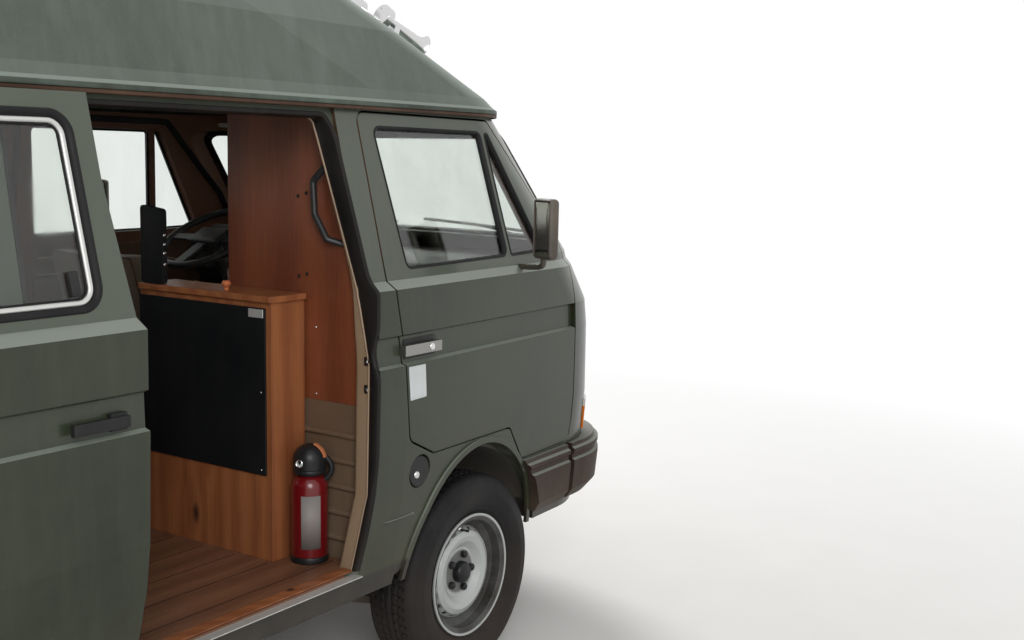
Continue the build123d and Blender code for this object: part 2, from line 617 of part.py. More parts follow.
PARTITION_LOW = 929.0
PARTITION_LEFT_Y = -324.0
RIB_COUNT = 5
RIB_R = 9.0
RIB_LOW_Z = 540.0
RIB_PITCH = 75.0
BULKHEAD_Z = (FLOOR_TOP + SEAT_GAP, PARTITION_LOW)
bulkheads = []
for side in (1, -1):
    low, high = sorted((-side * PARTITION_LEFT_Y, side * 900.0))
    bulkhead = block((BULKHEAD_X, BULKHEAD_X + BULKHEAD_THICKNESS), (low, high), BULKHEAD_Z)
    for index in range(RIB_COUNT):
        rib_z = RIB_LOW_Z + index * RIB_PITCH
        rib = rod("Y", (BULKHEAD_X, rib_z), RIB_R, low, high)
        bulkhead += rib & block((BULKHEAD_X - 20, BULKHEAD_X + 2), (low, high), (FLOOR_TOP, PARTITION_LOW))
    bulkheads.append(bulkhead & cabin_clear)
parts["bulkheads"] = solids_of(*bulkheads)

PARTITION = (
    (PARTITION_LEFT_Y, PARTITION_LOW + SEAT_GAP), (PARTITION_LEFT_Y, 1728.0), (-726.0, 1728.0),
    (-822.0, 1277.0), (-850.0, 1042.0), (-850.0, PARTITION_LOW + SEAT_GAP),
)
parts["partition"] = bar(outline(PARTITION), "X", BULKHEAD_X, BULKHEAD_X + BULKHEAD_THICKNESS)

GRAB_R = 9.0
GRAB_X = BULKHEAD_X - 26.0
GRAB_PATH = (
    (BULKHEAD_X + GRAB_R, -752.0, 1592.0), (GRAB_X, -735.0, 1590.0), (GRAB_X, -684.0, 1545.0),
    (GRAB_X, -690.0, 1455.0), (GRAB_X, -735.0, 1388.0), (BULKHEAD_X + GRAB_R, -775.0, 1372.0),
)
grab_line = FilletPolyline(*GRAB_PATH, radius=11.0)
grab_handle = sweep(Plane(origin=grab_line @ 0, z_dir=grab_line % 0) * Circle(GRAB_R), grab_line)
grab_clear = block((GRAB_X - 50.0, BULKHEAD_X - SEAT_GAP), (-900.0, -600.0), (1300.0, 1700.0))
parts["grab_handle"] = grab_handle & grab_clear

FLOOR_LEVEL = FLOOR_TOP + WOOD_THICKNESS
RIB_FACE_X = BULKHEAD_X - RIB_R - SEAT_GAP
WOOD_X = (DECK_FRONT_X + 10.0 + SEAT_GAP, RIB_FACE_X)
wood = cabin_clear & block(WOOD_X, (-900, 900), (FLOOR_TOP, FLOOR_LEVEL))
doorway_wood = block((-1515.0, -595.0), (-872.0, -800.0), (SILL_TOP + SEAT_GAP, FLOOR_LEVEL))
parts["wood_floor"] = (wood + doorway_wood) - rear_house_clear

BOARD = 16.0
DECK_BOARD = 18.0
DECK_FRONT = (DECK_FRONT_X - DECK_BOARD, DECK_FRONT_X)
deck = cabin_clear & block((-3300, DECK_FRONT_X), (-900, 900), (DECK_TOP - DECK_BOARD, DECK_TOP))
deck_front = cabin_clear & block(DECK_FRONT, (-900, 900), (FLOOR_TOP + SEAT_GAP, DECK_TOP))
bed_deck = (deck + deck_front) - rear_house_clear

# Cabinet in front of the partition with its worktop, black front panel and black upright
CABINET_X = (-630.0, RIB_FACE_X)
CABINET_Y = (-635.0, -102.0)
CABINET_BACK_BOARD = 8.0
WORKTOP_LOW = 1215.0
WORKTOP_TOP = WORKTOP_LOW + BOARD
UPRIGHT_Y = (-198.0, -104.0)
UPRIGHT_HIGH = (1462.0, 1450.0)
UPRIGHT_THICKNESS = 18.0
PANEL_THICKNESS = 6.0
cabinet = block(CABINET_X, CABINET_Y, (FLOOR_LEVEL + SEAT_GAP, WORKTOP_LOW))
cabinet -= block(
    (CABINET_X[0] + BOARD, CABINET_X[1] - CABINET_BACK_BOARD), (CABINET_Y[0] + BOARD, CABINET_Y[1] - BOARD),
    (FLOOR_LEVEL + BOARD, WORKTOP_LOW - 1.0))
WORKTOP_X = (CABINET_X[0] - 8.0, CABINET_X[1])
WORKTOP_Y = (CABINET_Y[0] - 6.0, CABINET_Y[1])
worktop = block(WORKTOP_X, WORKTOP_Y, (WORKTOP_LOW, WORKTOP_TOP))
cabinet += worktop
UPRIGHT = (
    (UPRIGHT_Y[0], WORKTOP_TOP + SEAT_GAP), (UPRIGHT_Y[0], UPRIGHT_HIGH[1]),
    (UPRIGHT_Y[1], UPRIGHT_HIGH[0]), (UPRIGHT_Y[1], WORKTOP_TOP + SEAT_GAP),
)
front_panel = block(
    (CABINET_X[0] - PANEL_THICKNESS, CABINET_X[0] - SEAT_GAP), (-616.0, CABINET_Y[1]), (727.0, 1197.0))
upright = bar(outline(UPRIGHT, 12.0), "X", CABINET_X[0], CABINET_X[0] + UPRIGHT_THICKNESS)
parts["cabinet_panel"] = solids_of(front_panel, upright)

# Fire extinguisher beside the cabinet: bottle, shoulder, neck and domed head
EXTINGUISHER_R = 52.0
EXTINGUISHER_NECK_R = 30.0
EXTINGUISHER_HEAD_R = 47.0
EXTINGUISHER = (RIB_FACE_X - EXTINGUISHER_R, -702.0)
bottle = make_face([
    Line((0, 0), (EXTINGUISHER_R - 6.0, 0)),
    Line((EXTINGUISHER_R - 6.0, 0), (EXTINGUISHER_R, 8.0)),
    Line((EXTINGUISHER_R, 8.0), (EXTINGUISHER_R, 218.0)),
    ThreePointArc((EXTINGUISHER_R, 218.0), (44.0, 238.0), (EXTINGUISHER_NECK_R, 248.0)),
    Line((EXTINGUISHER_NECK_R, 248.0), (EXTINGUISHER_NECK_R, 254.0)),
    Line((EXTINGUISHER_NECK_R, 254.0), (EXTINGUISHER_HEAD_R, 258.0)),
    Line((EXTINGUISHER_HEAD_R, 258.0), (EXTINGUISHER_HEAD_R, 291.0)),
    CenterArc((0, 291.0), EXTINGUISHER_HEAD_R, 0, 90),
    Line((0, 291.0 + EXTINGUISHER_HEAD_R), (0, 0)),
])
extinguisher = revolve(Plane.XZ * bottle, Axis.Z)
parts["fire_extinguisher"] = Pos(EXTINGUISHER[0], EXTINGUISHER[1], FLOOR_LEVEL + SEAT_GAP) * extinguisher

# Bench with cushions in front of the bed deck
BENCH_X = (DECK_FRONT_X + SEAT_GAP, DECK_FRONT_X + 500.0)
BENCH_Y = (-450.0, 700.0)
BENCH_TOP = 830.0
CUSHION = 120.0
bench = block(BENCH_X, BENCH_Y, (FLOOR_LEVEL + SEAT_GAP, BENCH_TOP))
bench -= block(
    (BENCH_X[0] + BOARD, BENCH_X[1] - BOARD), (BENCH_Y[0] + BOARD, BENCH_Y[1] - BOARD),
    (FLOOR_LEVEL + BOARD, BENCH_TOP - BOARD))
parts["furniture"] = solids_of(bed_deck, cabinet, bench - rear_house_clear)
BACK_HEIGHT = 560.0
BACK_GAP = 10.0
BED_X = (-3240.0, DECK_FRONT_X - BACK_GAP)
BED_Y = (-640.0, 700.0)
SEAT_X = (BENCH_X[0] + CUSHION + BACK_GAP, BENCH_X[1] + 20.0)
seat_cushion = block(SEAT_X, BENCH_Y, (BENCH_TOP + SEAT_GAP, BENCH_TOP + CUSHION))
BACK_X = (BENCH_X[0], BENCH_X[0] + CUSHION)
back_cushion = block(BACK_X, BENCH_Y, (BENCH_TOP + SEAT_GAP, BENCH_TOP + BACK_HEIGHT))
bed_cushion = block(BED_X, BED_Y, (DECK_TOP + SEAT_GAP, DECK_TOP + CUSHION))
living_cushions = [fillet(piece.edges(), 28.0) for piece in (seat_cushion, back_cushion, bed_cushion)]

# Cab seats on pedestals over the wheel houses
SEAT_Y = 430.0
SEAT_HALF = 235.0
PEDESTAL_TOP = 850.0
PEDESTAL_INSET = 30.0
PEDESTAL = (
    (-330.0, CAB_FLOOR_TOP + SEAT_GAP), (90.0, CAB_FLOOR_TOP + SEAT_GAP),
    (110.0, PEDESTAL_TOP), (-350.0, PEDESTAL_TOP),
)
SEAT_CUSHION = (
    (-340.0, PEDESTAL_TOP + SEAT_GAP), (130.0, PEDESTAL_TOP + SEAT_GAP),
    (150.0, 930.0), (120.0, 975.0), (-340.0, 955.0),
)
SEAT_BACK = ((-345.0, 955.3), (-240.0, 959.7), (-340.0, 1290.0), (-440.0, 1290.0))
pedestals = []
cushions = []
for side in (1, -1):
    low, high = side * SEAT_Y - SEAT_HALF, side * SEAT_Y + SEAT_HALF
    pedestal = bar(outline(PEDESTAL), "Y", low + PEDESTAL_INSET, high - PEDESTAL_INSET)
    pedestals.append(pedestal - front_house_clear)
    cushions.append(bar(outline(SEAT_CUSHION, 20.0), "Y", low, high))
    cushions.append(bar(outline(SEAT_BACK, 30.0), "Y", low, high))
parts["floor_panels"] = solids_of(*house_rings, cab_floor, *pedestals)
parts["cushions"] = solids_of(*living_cushions, *cushions)

# Dashboard under the windscreen, with the hood over the driver's instruments
DASHBOARD = (
    (372.0, 1238.0), (800.0, 1262.0), (826.0, 1150.0), (826.0, 960.0), (640.0, 960.0),
    (520.0, 1040.0), (410.0, 1100.0), (345.0, 1160.0),
)
DASHBOARD_HALF = 770.0
BINNACLE = ((350.0, 1215.0), (358.0, 1318.0), (380.0, 1330.0), (590.0, 1300.0), (640.0, 1230.0))
BINNACLE_Y = (190.0, 675.0)
dashboard = bar(outline(DASHBOARD, 20.0), "Y", -DASHBOARD_HALF, DASHBOARD_HALF)
dashboard += bar(outline(BINNACLE, 8.0), "Y", *BINNACLE_Y)
dashboard = cabin_clear & dashboard

# Steering column and wheel; the wheel's plane rises towards the nose
steering_plane = Plane(
    origin=STEERING_CENTRE, x_dir=(0, 1, 0),
    z_dir=(-sin(radians(STEERING_TILT)), 0, cos(radians(STEERING_TILT))))
wheel_rim = Torus(STEERING_R - STEERING_RIM_R, STEERING_RIM_R)
spokes = Pos(0, 12.0) * Box(2 * (STEERING_R - STEERING_RIM_R - 2.0), 36.0, 9.0)
spokes += Pos(0, (STEERING_R - STEERING_RIM_R) / 2) * Box(44.0, STEERING_R - STEERING_RIM_R, 9.0)
horn_pad = fillet(Box(150.0, 92.0, 30.0).edges(), 9.0)
hub = Pos(0, 0, -14.0) * Cylinder(42.0, 48.0)
parts["steering_wheel"] = steering_plane * (wheel_rim + spokes + hub + horn_pad)
column_length = (STEERING_CENTRE[2] - CAB_FLOOR_TOP) / cos(radians(STEERING_TILT))
column = Pos(0, 0, -(column_length + 38.0 + SEAT_GAP) / 2) * Cylinder(26.0, column_length - 38.0 - SEAT_GAP)
column = (steering_plane * column) & block((0, 1000), (0, 900), (CAB_FLOOR_TOP + SEAT_GAP, 1500))
parts["dashboard"] = solids_of(dashboard, column)

# Running gear under the floor: rails, cross members, towing eyes
RAIL_Y = (300.0, 380.0)
RAIL_Z = (330.0, BODY_BOTTOM - SEAT_GAP)
TOW_EYE_X = 900.0
TOW_EYE_Z = 362.0
TOW_EYE_R = 18.0
EYE_Y = (-348.0, -332.0)
RAIL_X = (-3225.0, 860.0)
MEMBERS_X = (-160.0, 160.0, -1000.0, -1900.0, 820.0)
MEMBER_HALF = 30.0
MEMBER_Z = (345.0, 390.0)
frame_rails = block(RAIL_X, RAIL_Y, RAIL_Z) + block(RAIL_X, (-RAIL_Y[1], -RAIL_Y[0]), RAIL_Z)
for member_x in MEMBERS_X:
    frame_rails += block((member_x - MEMBER_HALF, member_x + MEMBER_HALF), (-RAIL_Y[1], RAIL_Y[1]), MEMBER_Z)
for eye_x, plate in ((TOW_EYE_X, (850.0, TOW_EYE_X + 34.0)), (-3290.0, (-3290.0 - 34.0, -3220.0))):
    eye = block(plate, EYE_Y, (TOW_EYE_Z - 32.0, BODY_BOTTOM - SEAT_GAP))
    frame_rails += eye
    frame_rails -= rod("Y", (eye_x, TOW_EYE_Z), TOW_EYE_R, EYE_Y[0], EYE_Y[1])

# Front suspension: upper and lower arms, springs, and the steering rack
ARM_TIP = 20.0
ARM_TIP_Y = KINGPIN_Y + KNUCKLE_HALF
LOWER_ARM_HALF = 150.0
LOWER_PIVOT_Y = 400.0
UPPER_ARM_HALF = 90.0
UPPER_PIVOT_Y = HOUSE_INNER_Y + 2.0
SPRING_Y = 560.0
SPRING_R = 42.0
front_axle = []
for side in (1, -1):
    lower_arm = outline((
        (-LOWER_ARM_HALF, side * LOWER_PIVOT_Y), (LOWER_ARM_HALF, side * LOWER_PIVOT_Y),
        (ARM_TIP, side * ARM_TIP_Y), (-ARM_TIP, side * ARM_TIP_Y)))
    low_z = TYRE_R - KNUCKLE_HALF_HEIGHT
    high_z = TYRE_R + KNUCKLE_HALF_HEIGHT
    front_axle.append(bar(lower_arm, "Z", low_z - 24.0 - SEAT_GAP, low_z - SEAT_GAP))
    upper_arm = outline((
        (-UPPER_ARM_HALF, side * UPPER_PIVOT_Y), (UPPER_ARM_HALF, side * UPPER_PIVOT_Y),
        (ARM_TIP, side * ARM_TIP_Y), (-ARM_TIP, side * ARM_TIP_Y)))
    upper_arm -= Pos(0.0, side * SPRING_Y) * Circle(SPRING_R + 8.0)
    front_axle.append(bar(upper_arm, "Z", high_z + SEAT_GAP, high_z + 20.0))
    front_axle.append(rod("Z", (0.0, side * SPRING_Y), SPRING_R, low_z, TYRE_R + HOUSE_R - 3.0))

# Wheels: rim with disc, slots, bolts and drum, and the tyre
RIM_PROFILE = (
    (RIM_FLANGE_R, -RIM_HALF_WIDTH), (RIM_FLANGE_R, RIM_WALL - RIM_HALF_WIDTH), (183.0, 7.0 - RIM_HALF_WIDTH),
    (178.0, 11.0 - RIM_HALF_WIDTH), (BEAD_R, -45.0), (WELL_R, -30.0), (WELL_R, 15.0), (BEAD_R, 32.0),
    (178.0, RIM_HALF_WIDTH - 13.0), (183.0, RIM_HALF_WIDTH - 8.0), (RIM_FLANGE_R, RIM_HALF_WIDTH - RIM_WALL),
    (RIM_FLANGE_R, RIM_HALF_WIDTH), (RIM_FLANGE_R - 7.0, RIM_HALF_WIDTH - 1.0), (BEAD_R - RIM_WALL, 70.0),
    (BEAD_R - RIM_WALL, 36.0), (WELL_R - RIM_WALL, 20.0), (WELL_R - RIM_WALL, -34.0),
    (BEAD_R - RIM_WALL, -48.0), (BEAD_R - RIM_WALL, -70.0), (RIM_FLANGE_R - 7.0, 1.0 - RIM_HALF_WIDTH),
)
DISC_PROFILE = (
    (HUB_R, 30.0), (78.0, 30.0), (98.0, 47.0), (116.0, 52.0), (132.0, 46.0), (149.0, 24.0), (149.0, 14.0),
    (128.0, 40.0), (116.0, 46.0), (101.0, 41.0), (80.0, DISC_SEAT_Y), (HUB_R, DISC_SEAT_Y),
)
HUB_PROFILE = (
    (0.0, 18.0), (0.0, 50.0), (HUB_R - 6.0, 50.0), (HUB_R, 44.0), (HUB_R, DISC_SEAT_Y), (80.0, DISC_SEAT_Y),
    (80.0, 10.0), (DRUM_R, 10.0), (DRUM_R, DRUM_INNER_Y),
    (SPINDLE_R + SPINDLE_FIT, DRUM_INNER_Y), (SPINDLE_R + SPINDLE_FIT, 18.0),
)


def ring(points):
    """Solid of revolution about the axle line from (radius, offset) points."""
    return revolve(outline(points), Axis.Y)


def rim():
    """Steel wheel at the origin with its outer face towards +Y."""
    wheel = ring(RIM_PROFILE) + ring(DISC_PROFILE)
    slot = bar(Pos(SLOT_R, 0) * Rectangle(SLOT_WIDTH, SLOT_LENGTH), "Y", 0.0, 60.0)
    for index in range(SLOT_COUNT):
        wheel -= Rot(0, 360.0 * index / SLOT_COUNT, 0) * slot
    wheel += ring(HUB_PROFILE)
    for index in range(BOLT_COUNT):
        bolt = rod("Y", (BOLT_CIRCLE_R, 0.0), BOLT_R, 29.0, 30.0 + BOLT_HEIGHT)
        wheel += Rot(0, 360.0 * index / BOLT_COUNT, 0) * bolt
    return wheel


BEAD_FIT = 0.9
TYRE_BEAD_R = BEAD_R + BEAD_FIT
TYRE_PROFILE = (
    (TYRE_BEAD_R, -66.0), (TYRE_BEAD_R, -50.0), (200.0, -60.0), (295.0, -78.0), (295.0, 78.0), (200.0, 60.0),
    (TYRE_BEAD_R, 50.0), (TYRE_BEAD_R, 64.0), (200.0, 70.0), (235.0, 90.0), (262.0, TYRE_HALF_WIDTH),
    (290.0, 90.0), (308.0, 78.0), (TYRE_R, 58.0), (TYRE_R, -58.0), (308.0, -78.0), (290.0, -90.0),
    (262.0, -TYRE_HALF_WIDTH), (235.0, -90.0), (200.0, -71.0),
)
rim_solid = rim()
tyre_solid = ring(TYRE_PROFILE)
CORNERS = (
    ("front_left", 0.0, FRONT_TRACK / 2, 1), ("front_right", 0.0, FRONT_TRACK / 2, -1),
    ("rear_left", -WHEELBASE, REAR_TRACK / 2, 1), ("rear_right", -WHEELBASE, REAR_TRACK / 2, -1),
)
for name, axle_x, half_track, side in CORNERS:
    place = Pos(axle_x, half_track, TYRE_R)
    for kind, solid in (("rim", rim_solid), ("tyre", tyre_solid)):
        placed = place * solid
        if side < 0:
            placed = mirror(placed, about=Plane.XZ)
        parts[kind + "_" + name] = placed

# Knuckles that steer the front wheels
spindle_end = 15.0
for side, name in ((1, "left"), (-1, "right")):
    wheel_y = FRONT_TRACK / 2
    upright = block(
        (-KNUCKLE_HALF, KNUCKLE_HALF), (KINGPIN_Y - KNUCKLE_HALF, KINGPIN_Y + KNUCKLE_HALF),
        (TYRE_R - KNUCKLE_HALF_HEIGHT, TYRE_R + KNUCKLE_HALF_HEIGHT))
    carrier = rod("Y", (0.0, TYRE_R), 40.0, KINGPIN_Y, wheel_y + DRUM_INNER_Y - 1.0)
    spindle = rod("Y", (0.0, TYRE_R), SPINDLE_R, KINGPIN_Y, wheel_y + spindle_end)
    knuckle = upright + carrier + spindle
    if side < 0:
        knuckle = mirror(knuckle, about=Plane.XZ)
    parts["knuckle_" + name] = knuckle

# Rear trailing arms with spindles and drive shafts
ARM_PIVOT_X = -1950.0
DRIVE_SHAFT_R = 11.0
wheel_y = REAR_TRACK / 2
trailing_arm = outline((
    (ARM_PIVOT_X, 400.0), (ARM_PIVOT_X, 640.0), (-WHEELBASE - 60.0, 735.0), (-WHEELBASE - 60.0, 640.0)))
arm = bar(trailing_arm, "Z", TYRE_R - 30.0, TYRE_R + 20.0)
arm += rod("Y", (-WHEELBASE, TYRE_R), 55.0, 690.0, wheel_y + DRUM_INNER_Y - 1.0)
arm += rod("Y", (-WHEELBASE, TYRE_R), SPINDLE_R, 700.0, wheel_y + spindle_end)
arm += rod("Y", (-WHEELBASE, TYRE_R), DRIVE_SHAFT_R, 150.0 + SEAT_GAP, 700.0)
arm += block((ARM_PIVOT_X - 20.0, ARM_PIVOT_X + 20.0), (330.0, 640.0), (TYRE_R - 30.0, RAIL_Z[0] - SEAT_GAP))
parts["running_gear"] = solids_of(frame_rails, *front_axle, *both_sides(arm))

# Engine with its gearbox, silencer and fuel tank
gearbox = block((-2740.0, -2240.0), (-150.0, 150.0), (240.0, 440.0))
engine_block = block((-3220.0, -2740.0), (SEAT_GAP - RAIL_Y[0], RAIL_Y[0] - SEAT_GAP), (300.0, 760.0))
parts["engine"] = engine_block + gearbox
exhaust = rod("Y", (-3300.0, 300.0), 62.0, -200.0, 420.0) + rod("X", (300.0, 300.0), 24.0, -3440.0, -3300.0)
for strap_y in (-120.0, 350.0):
    exhaust += block((-3306.0, -3294.0), (strap_y - 12.0, strap_y + 12.0), (340.0, BODY_BOTTOM - SEAT_GAP))
parts["exhaust"] = exhaust
tank = block((-800.0, -300.0), (SEAT_GAP - RAIL_Y[0], RAIL_Y[0] - SEAT_GAP), (215.0, BODY_BOTTOM - SEAT_GAP))
parts["fuel_tank"] = fillet(tank.edges(), 24.0)

# Carriers that hold the open sliding door: upper and lower arms and the middle bracket on its rail
RAIL_TOP = 1104.0
RAIL_BOTTOM = 1064.0


def recess_y(z):
    """Half width of the outside at height z in the recessed band, behind the taper."""
    return rows_between(BODY_ROWS, z, BODY_TOP)[0][2] - RECESS_DEPTH


side_skin = recess_y(RAIL_BOTTOM)
rail = block((-3000.0, -1590.0), (-(side_skin + 11.0), -(side_skin + SEAT_GAP)), (RAIL_BOTTOM, RAIL_TOP))
rail -= block(
    (-2990.0, -1600.0), (-(side_skin + 12.0), -(side_skin + 4.0)), (RAIL_BOTTOM + 12.0, RAIL_TOP - 12.0))


def inner_y(z):
    """Half width of the inside between the side walls at height z."""
    return rows_between(CABIN_ROWS, z, BODY_TOP)[0][2]


middle_carrier = block(
    (-2330.0, -2270.0), (SEAT_GAP - SLIDE_OUT - inner_y(RAIL_TOP - 14.0), -(side_skin + 4.3)),
    (RAIL_BOTTOM + 14.0, RAIL_TOP - 14.0))
lower_carrier = block(
    (-1520.0, -1480.0), (SEAT_GAP - SLIDE_OUT - inner_y(FLOOR_LEVEL), -800.0),
    (FLOOR_LEVEL + SEAT_GAP, FLOOR_LEVEL + 26.0))
upper_carrier = block((-1490.0, -1460.0), (SEAT_GAP - SLIDE_OUT - inner_y(1716.0), -720.0), (1700.0, 1716.0))
handle_y = -(recess_y(1056.0) + SLIDE_OUT)
sliding_handle = block((-1545.0, -1410.0), (handle_y - 24.0, handle_y - 12.0), (1062.0, 1086.0))
sliding_handle += block((-1450.0, -1410.0), (handle_y - 14.0, handle_y - SEAT_GAP), (1056.0, 1092.0))
parts["sliding_door_gear"] = solids_of(rail, middle_carrier, lower_carrier, upper_carrier, sliding_handle)

# Mirrors and door handles
MIRROR_CENTRE = (104.0, 1052.0, 1407.0)
MIRROR_SIZE = (38.0, 100.0, 182.0)
MIRROR_TURN = 25.0
MIRROR_RIM = 7.0
MIRROR_RECESS = 6.0
MIRROR_ARM = (
    (250.0, 864.0, 1272.0), (220.0, 920.0, 1276.0), (150.0, 1000.0, 1286.0),
    (112.0, 1040.0, 1296.0), (106.0, 1046.0, 1330.0),
)
door_clear = stack(recess_rows, -SEAT_GAP)
for side, name in ((1, "left"), (-1, "right")):
    head = fillet(Box(*MIRROR_SIZE).edges(), 14.0)
    head -= Pos(-MIRROR_SIZE[0] / 2, 0, 0) * Box(
        2 * MIRROR_RECESS, MIRROR_SIZE[1] - 2 * MIRROR_RIM, MIRROR_SIZE[2] - 2 * MIRROR_RIM)
    head = Pos(*MIRROR_CENTRE) * Rot(0, 0, MIRROR_TURN) * head
    arm_line = FilletPolyline(*MIRROR_ARM, radius=14.0)
    mirror_arm = sweep(Plane(origin=arm_line @ 0, z_dir=arm_line % 0) * Circle(9.0), arm_line)
    handle = block((-405.0, -240.0), (912.0, 926.0), (1068.0, 1098.0))
    for foot_x in (-405.0, -275.0):
        handle += block((foot_x, foot_x + 35.0), (880.0, 913.0), (1068.0, 1098.0))
    pieces = solids_of((head + mirror_arm) - door_clear, handle - door_clear)
    if side < 0:
        pieces = solids_of(*[mirror(piece, about=Plane.XZ) for piece in pieces.solids()])
    parts["door_fittings_" + name] = pieces

os.makedirs("parts", exist_ok=True)
for name, shape in parts.items():
    export_step(Pos(FRONT_AXLE_X, 0, 0) * shape, "parts/" + name + ".step")
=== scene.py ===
from math import atan2, ceil, cos, pi, radians, sin, tau

import bmesh
import bpy
import numpy as np
from mathutils import Matrix, Vector
from mathutils.bvhtree import BVHTree


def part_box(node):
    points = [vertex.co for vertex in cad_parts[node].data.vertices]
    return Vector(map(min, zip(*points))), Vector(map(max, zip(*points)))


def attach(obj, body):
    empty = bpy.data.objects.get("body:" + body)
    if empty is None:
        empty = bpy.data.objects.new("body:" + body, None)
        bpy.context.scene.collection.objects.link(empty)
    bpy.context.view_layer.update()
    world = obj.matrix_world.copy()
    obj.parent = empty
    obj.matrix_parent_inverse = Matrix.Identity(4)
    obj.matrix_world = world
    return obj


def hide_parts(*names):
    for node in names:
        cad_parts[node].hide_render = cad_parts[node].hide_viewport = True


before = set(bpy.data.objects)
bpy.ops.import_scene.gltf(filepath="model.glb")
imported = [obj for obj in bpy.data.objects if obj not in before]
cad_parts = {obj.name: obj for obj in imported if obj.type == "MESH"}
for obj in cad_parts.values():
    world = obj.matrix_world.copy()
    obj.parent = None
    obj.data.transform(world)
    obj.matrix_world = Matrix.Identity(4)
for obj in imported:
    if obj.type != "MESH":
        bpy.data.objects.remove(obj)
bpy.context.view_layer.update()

# Lengths below are millimetres measured from the front axle, as on the van's drawings, until a mesh is made
MM = 0.001
# Faces that meet at more degrees than this have a sharp edge between them
SHARP_ANGLE = 38.0
# From how far away a skin is looked at, and how closely and how deep a panel is laid on it
FAR_OFF = 6000.0
PANEL_STEP = 30.0
PANEL_SUNK = 1.0
axle_low, axle_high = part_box("rim_front_right")
AXLE_X = (axle_low.x + axle_high.x) / 2
REAR_AXLE_X = (sum(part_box("rim_rear_right"), Vector()).x / 2 - AXLE_X) / MM
WHEEL_Z = (axle_low.z + axle_high.z) / 2 / MM

# How far the panes lie behind the outer skin, and how far inside a pane's edge its line is laid
GLASS_INSET = 12.0
LAID_INSIDE = 8.0

# Window outlines on the sides (x, z) and across the van (y, z)
DOOR_MAIN_WINDOW = ((-394, 1694), (129, 1691), (189, 1308), (-335, 1303))
DOOR_VENT_WINDOW = ((153, 1688), (170, 1687), (405, 1312), (213, 1308))
SLIDING_WINDOW = ((-1440, 1692), (-604, 1692), (-592, 1303), (-1440, 1303))
REAR_SIDE_WINDOW = ((-2940, 1690), (-1730, 1690), (-1730, 1312), (-3000, 1312))
MIDDLE_SIDE_WINDOW = ((-1580, 1690), (-600, 1690), (-570, 1312), (-1580, 1312))
WINDSCREEN = ((-700, 1694), (700, 1694), (768, 1322), (-768, 1322))
TAILGATE_WINDOW = ((-585, 1670), (585, 1670), (625, 1312), (-625, 1312))
# How far back the sliding door stands open
SLIDE_BACK = 840.0


# Numbers to geometry

def shell(grid, wrap_u=False, wrap_v=True, caps=False):
    """One surface from a grid of points indexed (u, v): the point at (u, v) is a corner of the quads to
    its four neighbours; a wrapped direction joins its last row to its first, and caps close both ends
    of u with one face each. The faces are turned so that the enclosed volume is positive."""
    nu, nv = grid.shape[:2]
    points = grid.reshape(-1, 3)
    u, v = np.meshgrid(np.arange(nu if wrap_u else nu - 1), np.arange(nv if wrap_v else nv - 1), indexing="ij")
    u, v = u.ravel(), v.ravel()
    u2, v2 = (u + 1) % nu, (v + 1) % nv
    quads = np.stack((u * nv + v, u2 * nv + v, u2 * nv + v2, u * nv + v2), 1)
    faces = quads.tolist()
    middle = points.mean(0)
    a, b, c, d = (points[quads[:, k]] - middle for k in range(4))
    volume = (np.cross(b, c) * a).sum() + (np.cross(c, d) * a).sum()
    if caps:
        ends = [np.arange(nv), np.arange(nv) + (nu - 1) * nv]
        for end, turn in zip(ends, (1, -1)):
            ring = points[end] - middle
            volume += turn * (np.cross(ring, np.roll(ring, -1, 0)) * ring[0]).sum()
            faces.append(end[::-turn].tolist()[::-1])
    if volume < 0:
        faces = [face[::-1] for face in faces]
    return points, faces


def piece(name, shells, finish, body="body", sharp=SHARP_ANGLE):
    """A mesh made of shells, with its place in its vertices, riding on a body and standing for one of the
    frame's materials."""
    points, faces, start = [], [], 0
    for shell_points, shell_faces in shells:
        points.append(shell_points)
        faces += [[index + start for index in face] for face in shell_faces]
        start += len(shell_points)
    placed = np.concatenate(points) * MM + np.array((AXLE_X, 0.0, 0.0))
    mesh = bpy.data.meshes.new(name)
    mesh.from_pydata(placed.tolist(), [], faces)
    mesh.materials.append(finish)
    mesh.polygons.foreach_set("use_smooth", np.ones(len(faces), bool))
    mesh.set_sharp_from_angle(angle=radians(sharp))
    mesh.update()
    made = bpy.data.objects.new(name, mesh)
    bpy.context.scene.collection.objects.link(made)
    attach(made, body)
    return made


def dense(points, step, closed=True):
    """Points along a broken line, with each straight part divided so that no part is longer than step."""
    points = np.asarray(points, float)
    ends = np.roll(points, -1, 0) if closed else points[1:]
    starts = points if closed else points[:-1]
    counts = np.maximum(1, np.ceil(np.linalg.norm(ends - starts, axis=1) / step)).astype(int)
    runs = [a + (b - a) * (np.arange(n) / n)[:, None] for a, b, n in zip(starts, ends, counts)]
    return np.concatenate(runs if closed else runs + [points[-1:]])


